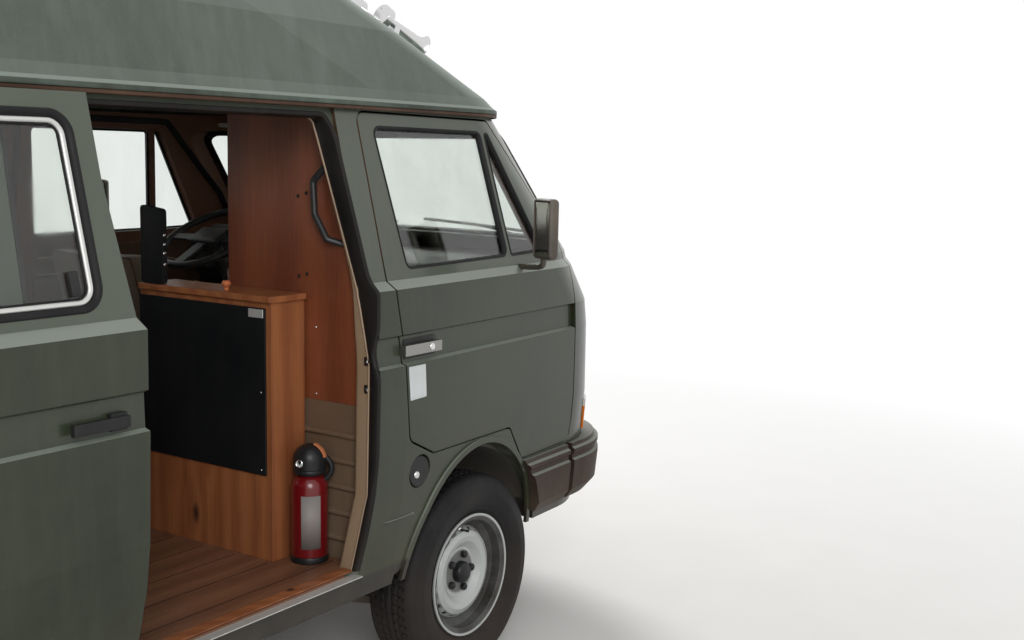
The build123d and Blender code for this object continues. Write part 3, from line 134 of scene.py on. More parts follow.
def rounded(corners, radius, step=14.0, closed=True):
    """Points round a polygon whose corners are arcs: each arc's centre lies on its corner's bisector at
    radius / sin(half the corner's angle)."""
    corners = np.array(corners, float)
    line = []
    for index, corner in enumerate(corners):
        if not closed and index in (0, len(corners) - 1):
            line.append(corner[None])
            continue
        to_last, to_next = corners[index - 1] - corner, corners[(index + 1) % len(corners)] - corner
        to_last, to_next = to_last / np.linalg.norm(to_last), to_next / np.linalg.norm(to_next)
        half = np.arccos(np.clip(to_last @ to_next, -1, 1)) / 2
        bisector = (to_last + to_next) / np.linalg.norm(to_last + to_next)
        centre = corner + bisector * radius / sin(half)
        first = corner + to_last * radius / np.tan(half) - centre
        last = corner + to_next * radius / np.tan(half) - centre
        turn = atan2(first[0] * last[1] - first[1] * last[0], first @ last)
        count = max(2, ceil(abs(turn) / radians(9)))
        angles = atan2(first[1], first[0]) + turn * np.arange(count + 1) / count
        line.append(centre + radius * np.stack((np.cos(angles), np.sin(angles)), 1))
    return dense(np.concatenate(line), step, closed)


def smoothed(rows, closed=True, passes=3):
    """Rows averaged with their neighbours along a line, which keeps facets out of it."""
    rows = np.array(rows, float)
    for _ in range(passes):
        around = (np.roll(rows, 1, 0) + 2 * rows + np.roll(rows, -1, 0)) / 4
        if not closed:
            around[0], around[-1] = rows[0], rows[-1]
        rows = around
    return rows


def unit(rows):
    """Rows brought to length one."""
    return rows / np.linalg.norm(rows, axis=-1, keepdims=True)


def frames(path, lift, closed, outward=None):
    """At each point of a path, the direction across it and the direction up from the surface: across is
    tangent x lift, turned away from the middle of a closed path, and up completes the frame."""
    if closed:
        tangent = unit(np.roll(path, -1, 0) - np.roll(path, 1, 0))
    else:
        tangent = unit(np.gradient(path, axis=0))
    lift = np.broadcast_to(np.asarray(lift, float), path.shape)
    across = unit(np.cross(tangent, lift))
    away = path - path.mean(0) if outward is None else np.broadcast_to(outward, path.shape)
    if (across * away).sum() < 0:
        across = -across
    up = unit(np.cross(across, tangent))
    up *= np.sign((up * lift).sum(1, keepdims=True))
    return across, up


def sweep(path, lift, profile, closed=True, outward=None):
    """A profile carried along a path: the point (u, v) is path(u) + across(u) * profile(u, v).across
    + up(u) * profile(u, v).up, where a profile may change along the path."""
    path, profile = np.asarray(path, float), np.asarray(profile, float)
    across, up = frames(path, lift, closed, outward)
    profile = profile[None] if profile.ndim == 2 else profile
    grid = path[:, None] + profile[..., :1] * across[:, None] + profile[..., 1:] * up[:, None]
    return shell(grid, wrap_u=closed, caps=not closed)


def circle(radius, count=12):
    """Points of a round profile about its path."""
    angles = tau * np.arange(count) / count
    return np.stack((radius * np.cos(angles), radius * np.sin(angles)), 1)


def turned(profile, centre, axis, count=48, closed=False):
    """A profile of (radius, height) points turned about an axis: the point (u, v) is centre
    + axis * height(v) + radius(v) * (side * cos(angle(u)) + third * sin(angle(u)))."""
    profile = np.asarray(profile, float)
    axis = unit(np.asarray(axis, float))
    side = unit(np.cross(axis, (0.0, 0.0, 1.0) if abs(axis[2]) < 0.9 else (1.0, 0.0, 0.0)))
    third = np.cross(axis, side)
    angles = tau * np.arange(count) / count
    spoke = side * np.cos(angles)[:, None] + third * np.sin(angles)[:, None]
    grid = (np.asarray(centre, float) + profile[None, :, 1:] * axis + profile[None, :, :1] * spoke[:, None])
    grid = grid.transpose(1, 0, 2)
    return shell(grid, wrap_u=closed, caps=not closed)


def slab(outline, low, high, axis="x", edge=1.5):
    """A flat plate with rounded edges: its outline, carried from low to high along an axis through four
    rings, the end rings drawn in towards the middle by the edge radius."""
    outline = np.asarray(outline, float)
    middle = outline.mean(0)
    away = unit(outline - middle)
    sign = 1 if high > low else -1
    levels = ((low, edge), (low + sign * edge, 0.0), (high - sign * edge, 0.0), (high, edge))
    rings = []
    for level, inset in levels:
        flat = outline - away * inset
        fill = np.full(len(flat), level)
        order = {"x": (fill, flat[:, 0], flat[:, 1]), "y": (flat[:, 0], fill, flat[:, 1]),
                 "z": (flat[:, 0], flat[:, 1], fill)}[axis]
        rings.append(np.stack(order, 1))
    return shell(np.stack(rings), caps=True)


class Skin:
    """The outside of some sub-parts, on which lines of points are laid by looking at it from outside."""

    def __init__(self, *nodes):
        corners, triangles, start = [], [], 0
        for node in nodes:
            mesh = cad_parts[node].data
            co = np.empty(len(mesh.vertices) * 3, np.float32)
            mesh.vertices.foreach_get("co", co)
            mesh.calc_loop_triangles()
            tri = np.empty(len(mesh.loop_triangles) * 3, np.int32)
            mesh.loop_triangles.foreach_get("vertices", tri)
            corners.append((co.reshape(-1, 3) - (AXLE_X, 0, 0)) / MM)
            triangles.append(tri.reshape(-1, 3) + start)
            start += len(mesh.vertices)
        self.tree = BVHTree.FromPolygons(np.concatenate(corners).tolist(), np.concatenate(triangles).tolist())

    def lay(self, points, direction, from_distance=FAR_OFF):
        """The first point of the skin that each point sees along its direction, and the normal there."""
        starts = np.asarray(points, float) - np.asarray(direction, float) * from_distance
        ways = np.broadcast_to(np.asarray(direction, float), starts.shape)
        hits = [self.tree.ray_cast(Vector(start), Vector(way)) for start, way in zip(starts, ways)]
        found = np.array([tuple(h[0]) + tuple(h[1]) if h[0] else (np.nan,) * 6 for h in hits])
        for column in found.T:
            gaps = np.isnan(column)
            if gaps.any():
                column[gaps] = np.interp(np.flatnonzero(gaps), np.flatnonzero(~gaps), column[~gaps])
        return found[:, :3], found[:, 3:]


# The ways in which the van's sides are looked at
VIEWS = {side: np.array(way, float) for side, way in (
    ("right", (0, 1, 0)), ("left", (0, -1, 0)), ("front", (-1, 0, 0)), ("tail", (1, 0, 0)))}


def seen_plane(side, across, up):
    """Points of the plane in which a side is looked at: (x, 0, z) on the sides, (0, y, z) at the ends."""
    across, up = np.broadcast_arrays(across, up)
    flat = np.zeros(across.shape)
    return np.stack((across, flat, up) if side in ("right", "left") else (flat, across, up), -1)


def laid(skin, loop, side, inward=0.0, height=0.0):
    """A closed flat line on the skin seen from one side: its points are moved inward, laid on the skin,
    brought back out along it, and lifted."""
    tangent = np.roll(loop, -1, 0) - np.roll(loop, 1, 0)
    normal = unit(np.stack((tangent[:, 1], -tangent[:, 0]), 1))
    if (normal * (loop - loop.mean(0))).sum() > 0:
        normal = -normal
    probe = loop + normal * inward
    path, normal = skin.lay(seen_plane(side, *probe.T), VIEWS[side])
    normal = unit(smoothed(normal))
    shift = seen_plane(side, *(loop - probe).T)
    shift -= normal * (shift * normal).sum(1, keepdims=True)
    return path + shift + normal * height, normal


def oblong(width, height, edge, step=40.0):
    """A rounded rectangle about the origin, as (across, up) points."""
    a, b = width / 2, height / 2
    return rounded(((-a, -b), (a, -b), (a, b), (-a, b)), edge, step)


def panel(skin, outline, side, thickness=5.0, edge=2.0, crown=0.0, inside=False):
    """A plate laid on a skin: ring s of the outline is middle + s * (outline - middle), and its points
    stand on the skin by a height that rises round the edge and then adds crown * (1 - s squared)."""
    outline = np.asarray(outline, float)
    middle = outline.mean(0)
    reach = np.linalg.norm(outline - middle, axis=1).mean()
    inner = 1 - edge / reach
    flat = np.linspace(inner, 0.03, max(4, int(reach / PANEL_STEP) + 3))
    shares = np.concatenate(([1.0, 1.0, 0.5 + inner / 2], flat))
    top = thickness + crown * (1 - (flat / inner) ** 2)
    heights = np.concatenate(([-PANEL_SUNK, thickness - edge, thickness - 0.3 * edge], top))
    plane = middle + (outline - middle)[None] * shares[:, None, None]
    points = seen_plane(side, plane[..., 0], plane[..., 1])
    path, normal = skin.lay(points.reshape(-1, 3), -VIEWS[side] if inside else VIEWS[side], 0.0 if inside else FAR_OFF)
    grid = (path + unit(normal) * np.repeat(heights, len(outline))[:, None]).reshape(points.shape)
    return shell(grid, caps=True)


def box_round(low, high, edge, axis="x"):
    """A block with round edges, carried along one axis between two corners."""
    order = {"x": (1, 2, 0), "y": (0, 2, 1), "z": (0, 1, 2)}[axis]
    (a0, a1), (b0, b1), (c0, c1) = [(low[k], high[k]) for k in order]
    return slab(rounded(((a0, b0), (a1, b0), (a1, b1), (a0, b1)), edge, 200.0), c0, c1, axis, edge * 0.8)


def level_ring(skin, height, from_x):
    """A level line round the van's front part, each point seen from outside towards its middle line."""
    loop = rounded(((-3900, -1500), (1300, -1500), (1300, 1500), (-3900, 1500)), 700.0, 25.0)
    middle = np.stack((np.clip(loop[:, 0], -2900, -300), np.zeros(len(loop))), 1)
    start = np.column_stack((loop, np.full(len(loop), height)))
    way = unit(np.column_stack((middle - loop, np.zeros(len(loop)))))
    path, _ = skin.lay(start, way, 0.0)
    kept = path[:, 0] > from_x
    first = np.flatnonzero(kept & ~np.roll(kept, 1))[0]
    path, kept = np.roll(path, -first, 0), np.roll(kept, -first)
    return path[kept]


# Shader tools

class Graph:
    """Adds nodes to a node tree, with inputs given as values or as other nodes' outputs."""

    def __init__(self, tree):
        self.tree = tree

    def add(self, kind, inputs=None, **settings):
        node = self.tree.nodes.new(kind if kind.startswith("Node") else "ShaderNode" + kind)
        for key, value in settings.items():
            setattr(node, key, value)
        self.put(node.inputs, inputs or {})
        return node

    def put(self, sockets, values):
        for key, value in values.items():
            if isinstance(value, bpy.types.NodeSocket):
                self.tree.links.new(value, sockets[key])
            else:
                sockets[key].default_value = value

    def math(self, operation, *values, clamp=False):
        return self.add("Math", dict(enumerate(values)), operation=operation, use_clamp=clamp).outputs[0]

    def times(self, *values, clamp=False):
        return self.math("MULTIPLY", *values, clamp=clamp)

    def plus(self, *values, clamp=False):
        return self.math("ADD", *values, clamp=clamp)

    def minus(self, *values, clamp=False):
        return self.math("SUBTRACT", *values, clamp=clamp)

    def part(self, vector, axis):
        return self.add("SeparateXYZ", {0: vector}).outputs[axis]

    def mix(self, share, first, second):
        return self.add("Mix", {0: share, 6: first, 7: second}, data_type="RGBA").outputs[2]

    def spread(self, value, low, high, to_low=0.0, to_high=1.0):
        return self.add("MapRange", {0: value, 1: low, 2: high, 3: to_low, 4: to_high}).outputs[0]

    def noise(self, vector, scale, detail=4.0, rough=0.55, distortion=0.0):
        inputs = {"Vector": vector, "Scale": scale, "Detail": detail, "Roughness": rough, "Distortion": distortion}
        return self.add("TexNoise", inputs).outputs[0]

    def stretched(self, vector, scale):
        return self.add("Mapping", {"Vector": vector, "Scale": scale}).outputs[0]

    def shown(self):
        """1 on rays that show a surface itself: from the camera, off gloss and through glass."""
        ray = self.add("LightPath").outputs
        direct = self.math("MAXIMUM", ray["Is Camera Ray"], ray["Is Glossy Ray"])
        return self.math("MAXIMUM", direct, ray["Is Transmission Ray"])


def node_group(name, inputs, outputs):
    """An empty shader group with named inputs (label, kind, default) and outputs (label, kind)."""
    tree = bpy.data.node_groups.new(name, "ShaderNodeTree")
    for label, kind, default in inputs:
        socket = tree.interface.new_socket(label, in_out="INPUT", socket_type="NodeSocket" + kind)
        if default is not None:
            socket.default_value = default
    for label, kind in outputs:
        tree.interface.new_socket(label, in_out="OUTPUT", socket_type="NodeSocket" + kind)
    graph = Graph(tree)
    return graph, graph.add("NodeGroupInput").outputs


def finish_group(graph, outputs):
    graph.add("NodeGroupOutput", outputs)
    return graph.tree


def weathered_group():
    """Paint that has faded in patches, run down in streaks and gathered fine specks."""
    g, given = node_group(
        "weathered paint",
        [("Vector", "Vector", None), ("Paint", "Color", (0.1, 0.1, 0.1, 1)), ("Faded", "Color", (0.2, 0.2, 0.2, 1)),
         ("Patches", "Float", 1.4), ("Amount", "Float", 0.5)],
        [("Color", "Color"), ("Roughness", "Float"), ("Height", "Float")])
    patches = g.noise(given["Vector"], given["Patches"], 5.0, 0.6, 0.35)
    streaks = g.noise(g.stretched(given["Vector"], (9.0, 9.0, 0.9)), 2.2, 4.0, 0.6)
    specks = g.noise(given["Vector"], 160.0, 2.0)
    share = g.plus(g.spread(patches, 0.38, 0.68), g.spread(streaks, 0.45, 0.75, 0.0, 0.5), clamp=True)
    share = g.times(share, given["Amount"])
    color = g.mix(share, given["Paint"], given["Faded"])
    color = g.mix(g.spread(specks, 0.60, 0.74, 0.0, 0.35), color, given["Faded"])
    roughness = g.plus(g.spread(patches, 0.3, 0.7, 0.0, 0.16), g.spread(streaks, 0.3, 0.7, -0.03, 0.06))
    height = g.plus(g.times(specks, 0.25), g.noise(given["Vector"], 42.0, 3.0))
    return finish_group(g, {"Color": color, "Roughness": roughness, "Height": height})


def dust_group():
    """Road dust that thins out with height: share = (1 - height / reach), broken up by noise."""
    g, given = node_group(
        "road dust",
        [("Vector", "Vector", None), ("Color", "Color", (0.1, 0.1, 0.1, 1)), ("Dust", "Color", (0.25, 0.2, 0.14, 1)),
         ("Reach", "Float", 0.7), ("Amount", "Float", 0.5)],
        [("Color", "Color"), ("Mask", "Float")])
    height = g.part(given["Vector"], "Z")
    share = g.minus(1.0, g.math("DIVIDE", height, given["Reach"]), clamp=True)
    broken = g.spread(g.noise(given["Vector"], 7.0, 6.0, 0.65), 0.3, 0.75)
    share = g.times(g.times(share, g.plus(broken, 0.35)), given["Amount"], clamp=True)
    return finish_group(g, {"Color": g.mix(share, given["Color"], given["Dust"]), "Mask": share})


def soft_edge_group():
    """Rounds sharp edges for the light and finds them: the mask is 1 - rounded normal . true normal."""
    g, given = node_group(
        "soft edges", [("Radius", "Float", 0.004), ("Gain", "Float", 6.0)],
        [("Normal", "Vector"), ("Mask", "Float")])
    rounded_normal = g.add("Bevel", {"Radius": given["Radius"]}, samples=4).outputs[0]
    true_normal = g.add("NewGeometry").outputs["Normal"]
    match = g.add("VectorMath", {0: rounded_normal, 1: true_normal}, operation="DOT_PRODUCT").outputs["Value"]
    mask = g.times(g.minus(1.0, match), given["Gain"], clamp=True)
    return finish_group(g, {"Normal": rounded_normal, "Mask": mask})


# Where the lining's paint lies, in metres: behind this x, within this |y| and above this z, each a soft step;
# and the share at which lengthways distance counts in the direction from the middle line
LINING_X = (1.80, 1.84)
LINING_Y = (0.868, 0.874)
LINING_Z = (0.74, 0.78)
LENGTHWAYS_SHARE = 0.36


def inward_group():
    """Marks the faces that look into the van: 1 where the face's normal points against the direction
    from the van's middle line, with lengthways distance counted at less than half, behind the nose."""
    g, given = node_group("faces inward", [("Vector", "Vector", None), ("Normal", "Vector", None)],
                          [("Mask", "Float")])
    flat = g.add("VectorMath", {0: given["Vector"], 1: (LENGTHWAYS_SHARE, 1.0, 0.0)}, operation="MULTIPLY").outputs[0]
    away = g.add("VectorMath", {0: flat}, operation="NORMALIZE").outputs[0]
    facing = g.add("VectorMath", {0: away, 1: given["Normal"]}, operation="DOT_PRODUCT").outputs["Value"]
    parts = g.add("SeparateXYZ", {0: given["Vector"]}).outputs
    behind = g.spread(parts["X"], *LINING_X, 1.0, 0.0)
    within = g.spread(g.math("ABSOLUTE", parts["Y"]), *LINING_Y, 1.0, 0.0)
    within = g.times(within, g.spread(parts["Z"], *LINING_Z))
    return finish_group(g, {"Mask": g.times(g.times(g.spread(facing, -0.25, -0.4), behind), within)})


def wood_group():
    """Sawn wood with its grain along Z: rings are a wave bent by noise, pores fine stretched noise, and
    knots the darkened middles of widely spaced cells."""
    g, given = node_group(
        "wood grain",
        [("Vector", "Vector", None), ("Light", "Color", (0.6, 0.4, 0.2, 1)), ("Dark", "Color", (0.3, 0.15, 0.07, 1)),
         ("Rings", "Float", 14.0), ("Knots", "Float", 0.0)],
        [("Color", "Color"), ("Roughness", "Float"), ("Height", "Float")])
    along = g.stretched(given["Vector"], (1.0, 1.0, 0.12))
    bend = g.noise(along, 5.0, 3.0, 0.5)
    cells = g.add("TexVoronoi", {"Vector": g.stretched(given["Vector"], (1.0, 1.0, 0.45)), "Scale": 5.5}).outputs[0]
    knot = g.times(g.spread(cells, 0.10, 0.03), given["Knots"])
    swirl = g.times(g.spread(cells, 0.35, 0.0), g.times(given["Knots"], 0.35))
    parts = g.add("SeparateXYZ", {0: given["Vector"]}).outputs
    across = g.plus(g.plus(parts["X"], parts["Y"]), g.times(bend, 0.16))
    across = g.plus(across, g.times(swirl, 0.12))
    rings = g.math("SINE", g.times(across, g.times(given["Rings"], tau)))
    pores = g.noise(g.stretched(given["Vector"], (1.0, 1.0, 0.03)), 210.0, 3.0, 0.6)
    share = g.plus(g.spread(rings, -1.0, 1.0, 0.0, 0.55), g.spread(pores, 0.35, 0.7, 0.0, 0.45))
    share = g.plus(share, g.spread(g.noise(given["Vector"], 2.6, 3.0), 0.35, 0.7, -0.15, 0.2), clamp=True)
    color = g.mix(share, given["Light"], given["Dark"])
    color = g.mix(knot, color, (0.03, 0.012, 0.006, 1))
    roughness = g.spread(pores, 0.3, 0.7, -0.05, 0.12)
    height = g.plus(pores, g.times(rings, 0.15))
    return finish_group(g, {"Color": color, "Roughness": roughness, "Height": height})


def grain_group():
    """Moulded grain: a fine cell pattern with shallow valleys, and a slow change of shine."""
    g, given = node_group(
        "moulded grain", [("Vector", "Vector", None), ("Scale", "Float", 420.0)],
        [("Height", "Float"), ("Shine", "Float")])
    cells = g.add("TexVoronoi", {"Vector": given["Vector"], "Scale": given["Scale"]}, feature="SMOOTH_F1").outputs[0]
    height = g.plus(cells, g.noise(given["Vector"], 60.0, 3.0))
    shine = g.spread(g.noise(given["Vector"], 3.5, 5.0, 0.6), 0.3, 0.7, -0.1, 0.12)
    return finish_group(g, {"Height": height, "Shine": shine})


def rust_group():
    """Chips and rust: noise cut off at a level set by the amount, with a finer noise at its rim."""
    g, given = node_group(
        "chips and rust",
        [("Vector", "Vector", None), ("Color", "Color", (0.3, 0.3, 0.3, 1)), ("Amount", "Float", 0.3),
         ("Scale", "Float", 22.0)],
        [("Color", "Color"), ("Mask", "Float")])
    level = g.minus(0.78, g.times(given["Amount"], 0.4))
    slow = g.times(g.noise(given["Vector"], 4.0, 2.0), 0.25)
    spots = g.plus(g.noise(given["Vector"], given["Scale"], 6.0, 0.7), slow)
    mask = g.times(g.minus(g.minus(spots, 0.08), level), 16.0, clamp=True)
    tone = g.mix(g.noise(given["Vector"], 70.0, 3.0), (0.10, 0.035, 0.012, 1), (0.26, 0.11, 0.045, 1))
    return finish_group(g, {"Color": g.mix(mask, given["Color"], tone), "Mask": mask})


def weave_group():
    """Plain weave from two crossed waves: height is the larger of |sin| along each thread direction."""
    g, given = node_group("weave", [("Vector", "Vector", None), ("Threads", "Float", 420.0)],
                          [("Height", "Float"), ("Tone", "Float")])
    parts = g.add("SeparateXYZ", {0: given["Vector"]}).outputs
    warp = g.math("ABSOLUTE", g.math("SINE", g.times(g.plus(parts["X"], parts["Z"]), given["Threads"])))
    weft = g.math("ABSOLUTE", g.math("SINE", g.times(g.plus(parts["Y"], parts["Z"]), given["Threads"])))
    height = g.math("MAXIMUM", warp, weft)
    tone = g.plus(g.times(height, 0.4), g.times(g.noise(given["Vector"], 9.0, 4.0), 0.6))
    return finish_group(g, {"Height": height, "Tone": tone})


GROUPS = {
    "weathered": weathered_group(), "dust": dust_group(), "edges": soft_edge_group(), "inward": inward_group(),
    "wood": wood_group(), "grain": grain_group(), "rust": rust_group(), "weave": weave_group(),
}


class Finish(Graph):
    """A material being put together: object coordinates, the effect groups, and one Principled shader."""

    def __init__(self, name):
        self.material = bpy.data.materials.new(name)
        self.material.use_nodes = True
        super().__init__(self.material.node_tree)
        self.shader = self.tree.nodes["Principled BSDF"]
        coords = self.add("TexCoord").outputs
        self.place, self.normal = coords["Object"], coords["Normal"]

    def effect(self, name, **inputs):
        return self.add("Group", inputs, node_tree=GROUPS[name]).outputs

    def bump(self, height, strength=0.2, distance=0.001, normal=None):
        inputs = {"Height": height, "Strength": strength, "Distance": distance}
        if normal is not None:
            inputs["Normal"] = normal
        return self.add("Bump", inputs).outputs[0]

    def done(self, **sockets):
        names = {"color": "Base Color", "roughness": "Roughness", "metallic": "Metallic", "normal": "Normal",
                 "coat": "Coat Weight", "coat_roughness": "Coat Roughness", "transmission": "Transmission Weight",
                 "ior": "IOR", "sheen": "Sheen Weight", "sheen_roughness": "Sheen Roughness",
                 "specular": "Specular IOR Level"}
        self.put(self.shader.inputs, {names[key]: value for key, value in sockets.items()})
        return self.material


# The height in metres up to which the body's paint is near black, sealant and painted shade, as a soft step
UNDERSEAL_AND_SHADE_Z = (0.455, 0.470)


def paint_finish(name, paint, faded, amount, roughness, dust=0.6, inside=None, edge=0.004, coat=0.25, sky_sheen=None,
                 underseal_and_shade=None):
    """Brushed-on body paint with faded patches, dust low down, and pale edges where it has rubbed thin, partly a
    painted highlight; faces that lean up are painted lighter as a painted reflection of the sky, and the lowest few
    centimetres are near black, sealant and painted shade."""
    f = Finish(name)
    worn = f.effect("weathered", Vector=f.place, Paint=paint, Faded=faded, Amount=amount)
    color = worn["Color"]
    # Faces that lean up are painted lighter: a painted reflection of the sky.
    if sky_sheen:
        sky_sheen_share = f.spread(f.part(f.normal, "Z"), 0.04, 0.62, 0.0, 0.92)
        color = f.mix(sky_sheen_share, color, sky_sheen)
    # Near black below this height: sealant underneath, and painted shade under the sides.
    if underseal_and_shade:
        low = f.spread(f.part(f.place, "Z"), *UNDERSEAL_AND_SHADE_Z, 1.0, 0.0)
        color = f.mix(low, color, underseal_and_shade)
    edges = f.effect("edges", Radius=edge, Gain=2.2)
    # Edges turn pale: rubbed-thin paint, and partly a painted highlight along the rounded edges.
    color = f.mix(f.times(edges["Mask"], 0.45), color, faded)
    dusty = f.effect("dust", Vector=f.place, Color=color, Amount=dust)
    color = dusty["Color"]
    rough = f.plus(worn["Roughness"], f.plus(roughness, f.times(dusty["Mask"], 0.35)))
    coat_share = f.times(f.minus(1.0, dusty["Mask"], clamp=True), coat)
    if inside:
        mask = f.effect("inward", Vector=f.place, Normal=f.normal)["Mask"]
        # The lining is lighter along its rounded edges: a painted highlight.
        lining = f.mix(f.times(edges["Mask"], 0.75), inside, INSIDE_EDGE_HIGHLIGHT)
        color = f.mix(mask, color, lining)
        rough = f.plus(rough, f.times(mask, 0.2))
        coat_share = f.times(coat_share, f.minus(1.0, mask))
    normal = f.bump(worn["Height"], 0.10, 0.0006, edges["Normal"])
    return f.done(color=color, roughness=rough, normal=normal, coat=coat_share, coat_roughness=0.14, specular=0.25)


def plastic_finish(name, color, faded, roughness=0.5, grain=420.0, strength=0.25, edge=0.003, dust=0.4, specular=0.3,
                   sky_sheen=None):
    """Moulded plastic or rubber: grain bump, faded patches, paler rubbed edges, dust low down, and
    faces that look up painted lighter as a painted reflection of the sky."""
    f = Finish(name)
    worn = f.effect("weathered", Vector=f.place, Paint=color, Faded=faded, Amount=0.7, Patches=2.6)
    edges = f.effect("edges", Radius=edge, Gain=2.5)
    shade = f.mix(f.times(edges["Mask"], 0.5), worn["Color"], faded)
    # Faces that look up are painted lighter: a painted reflection of the sky.
    if sky_sheen:
        sky_sheen_share = f.spread(f.part(f.normal, "Z"), 0.15, 0.6)
        shade = f.mix(sky_sheen_share, shade, sky_sheen)
    dusty = f.effect("dust", Vector=f.place, Color=shade, Amount=dust)
    texture = f.effect("grain", Vector=f.place, Scale=grain)
    rough = f.plus(f.plus(texture["Shine"], roughness), f.times(dusty["Mask"], 0.2))
    normal = f.bump(texture["Height"], strength, 0.0004, edges["Normal"])
    return f.done(color=dusty["Color"], roughness=rough, normal=normal, specular=specular)


def metal_finish(name, color, rust=0.15, roughness=0.3, metallic=0.9, edge=0.002, scale=22.0, dust=0.3):
    """Bare or plated metal with spots of rust and fine scratches in its shine."""
    f = Finish(name)
    rusty = f.effect("rust", Vector=f.place, Color=color, Amount=rust, Scale=scale)
    dusty = f.effect("dust", Vector=f.place, Color=rusty["Color"], Amount=dust)
    scratches = f.noise(f.stretched(f.place, (30.0, 3.0, 30.0)), 30.0, 4.0, 0.7)
    rough = f.plus(f.spread(scratches, 0.3, 0.7, -0.06, 0.12), roughness)
    rough = f.plus(rough, f.times(rusty["Mask"], 0.4), clamp=True)
    metal = f.times(f.minus(1.0, rusty["Mask"]), metallic)
    metal = f.times(metal, f.minus(1.0, dusty["Mask"]))
    normal = f.bump(scratches, 0.08, 0.0005, f.effect("edges", Radius=edge)["Normal"])
    return f.done(color=dusty["Color"], roughness=rough, metallic=metal, normal=normal)


def wood_finish(name, light, dark, rings, knots, roughness, turn=(0, 0, 0)):
    """Sawn and varnished wood; turn lays the grain, which runs along Z, in another direction."""
    f = Finish(name)
    vector = f.add("Mapping", {"Vector": f.place, "Rotation": turn}).outputs[0]
    wood = f.effect("wood", Vector=vector, Light=light, Dark=dark, Rings=rings, Knots=knots)
    edges = f.effect("edges", Radius=0.002, Gain=2.0)
    color = f.mix(f.times(edges["Mask"], 0.35), wood["Color"], light)
    shine = f.spread(f.noise(f.place, 3.0, 4.0), 0.3, 0.7, roughness - 0.08, roughness + 0.12)
    rough = f.plus(wood["Roughness"], shine)
    normal = f.bump(wood["Height"], 0.12, 0.0006, edges["Normal"])
    return f.done(color=color, roughness=rough, normal=normal, coat=0.15, coat_roughness=0.25)


def glass_finish(name, tint, roughness=0.02, film=0.10):
    """Clear glass with a thin uneven film of dirt, which dulls it in streaks."""
    f = Finish(name)
    dirt = f.noise(f.stretched(f.place, (2.0, 2.0, 0.7)), 3.0, 6.0, 0.65)
    rough = f.spread(dirt, 0.45, 0.8, roughness, roughness + film)
    color = f.mix(f.spread(dirt, 0.4, 0.8, 0.0, 0.25), tint, (0.55, 0.55, 0.5, 1))
    return f.done(color=color, roughness=rough, transmission=1.0, ior=1.45)


def banded_finish(name, bands, ribs=0.0, roughness=0.15):
    """A lens or body of several colours, one above the other: each band is (top height in metres, colour)."""
    f = Finish(name)
    parts = f.add("SeparateXYZ", {0: f.place}).outputs
    color = f.mix(0.0, bands[0][1], bands[0][1])
    for (top, _), (_, above) in zip(bands, bands[1:]):
        color = f.mix(f.spread(parts["Z"], top - 0.001, top + 0.001), color, above)
    ridge = f.math("SINE", f.times(parts["Y"], ribs))
    dusty = f.effect("dust", Vector=f.place, Color=color, Amount=0.25, Reach=0.9)
    rough = f.spread(f.noise(f.place, 14.0, 4.0), 0.3, 0.7, roughness, roughness + 0.12)
    return f.done(color=dusty["Color"], roughness=rough, normal=f.bump(ridge, 0.35 if ribs else 0.0, 0.001),
                  coat=0.7, coat_roughness=0.06)


# The height in metres between the door's lever and its mirror, as a soft step
MIRROR_Z = (1.18, 1.20)


def fittings_finish():
    """Door furniture: the lever low down is plated, and the mirror above it is grey moulded plastic."""
    f = Finish("door furniture")
    high = f.spread(f.part(f.place, "Z"), *MIRROR_Z)
    worn = f.effect("weathered", Vector=f.place, Paint=(0.050, 0.040, 0.031, 1), Faded=(0.13, 0.108, 0.085, 1),
                    Amount=0.8, Patches=4.0)
    edges = f.effect("edges", Radius=0.003, Gain=2.5)
    plastic = f.mix(f.times(edges["Mask"], 0.5), worn["Color"], (0.20, 0.165, 0.13, 1))
    texture = f.effect("grain", Vector=f.place, Scale=420.0)
    color = f.mix(high, (0.27, 0.265, 0.25, 1), plastic)
    rough = f.plus(f.spread(high, 0.0, 1.0, 0.17, 0.5), f.times(texture["Shine"], 0.6))
    return f.done(color=color, roughness=rough, metallic=f.spread(high, 0.0, 1.0, 0.95, 0.0),
                  normal=f.bump(texture["Height"], 0.12, 0.0004, edges["Normal"]))


# Radii in metres, as soft steps: where the well's painted shade starts and ends, and where the darker hub ends
BARREL_FROM = (0.144, 0.148)
BARREL_TO = (0.187, 0.184)
HUB_TO = (0.072, 0.064)


def wheel_finish():
    """Silver wheel paint, near black as painted shade in the recessed well and darker at the hub, found by the distance
    from the axle.
    """
    f = Finish("wheel paint")
    rusty = f.effect("rust", Vector=f.place, Color=(0.44, 0.46, 0.45, 1), Amount=0.12, Scale=26.0)
    parts = f.add("SeparateXYZ", {0: f.place}).outputs
    ahead, behind = (f.math("ABSOLUTE", f.minus(parts["X"], x)) for x in (AXLE_X, AXLE_X + REAR_AXLE_X * MM))
    rise = f.minus(parts["Z"], WHEEL_Z * MM)
    along = f.math("MINIMUM", ahead, behind)
    radius = f.math("SQRT", f.plus(f.times(along, along), f.times(rise, rise)))
    # Painted shade in the recessed well between rim flange and disc, and a darker hub
    well_shade_and_hub = f.times(f.spread(radius, *BARREL_FROM), f.spread(radius, *BARREL_TO))
    well_shade_and_hub = f.math("MAXIMUM", well_shade_and_hub, f.spread(radius, *HUB_TO, 0.0, 0.75))
    broken = f.spread(f.noise(f.place, 9.0, 5.0, 0.6), 0.3, 0.7, 0.8, 1.0)
    color = f.mix(f.times(well_shade_and_hub, broken), rusty["Color"], (0.016, 0.011, 0.008, 1))
    edges = f.effect("edges", Radius=0.003, Gain=2.5)
    color = f.mix(f.times(edges["Mask"], 0.5), color, (0.50, 0.48, 0.45, 1))
    rough = f.plus(0.42, f.times(well_shade_and_hub, 0.3))
    return f.done(color=color, roughness=rough, metallic=0.25, normal=f.bump(broken, 0.1, 0.001, edges["Normal"]))


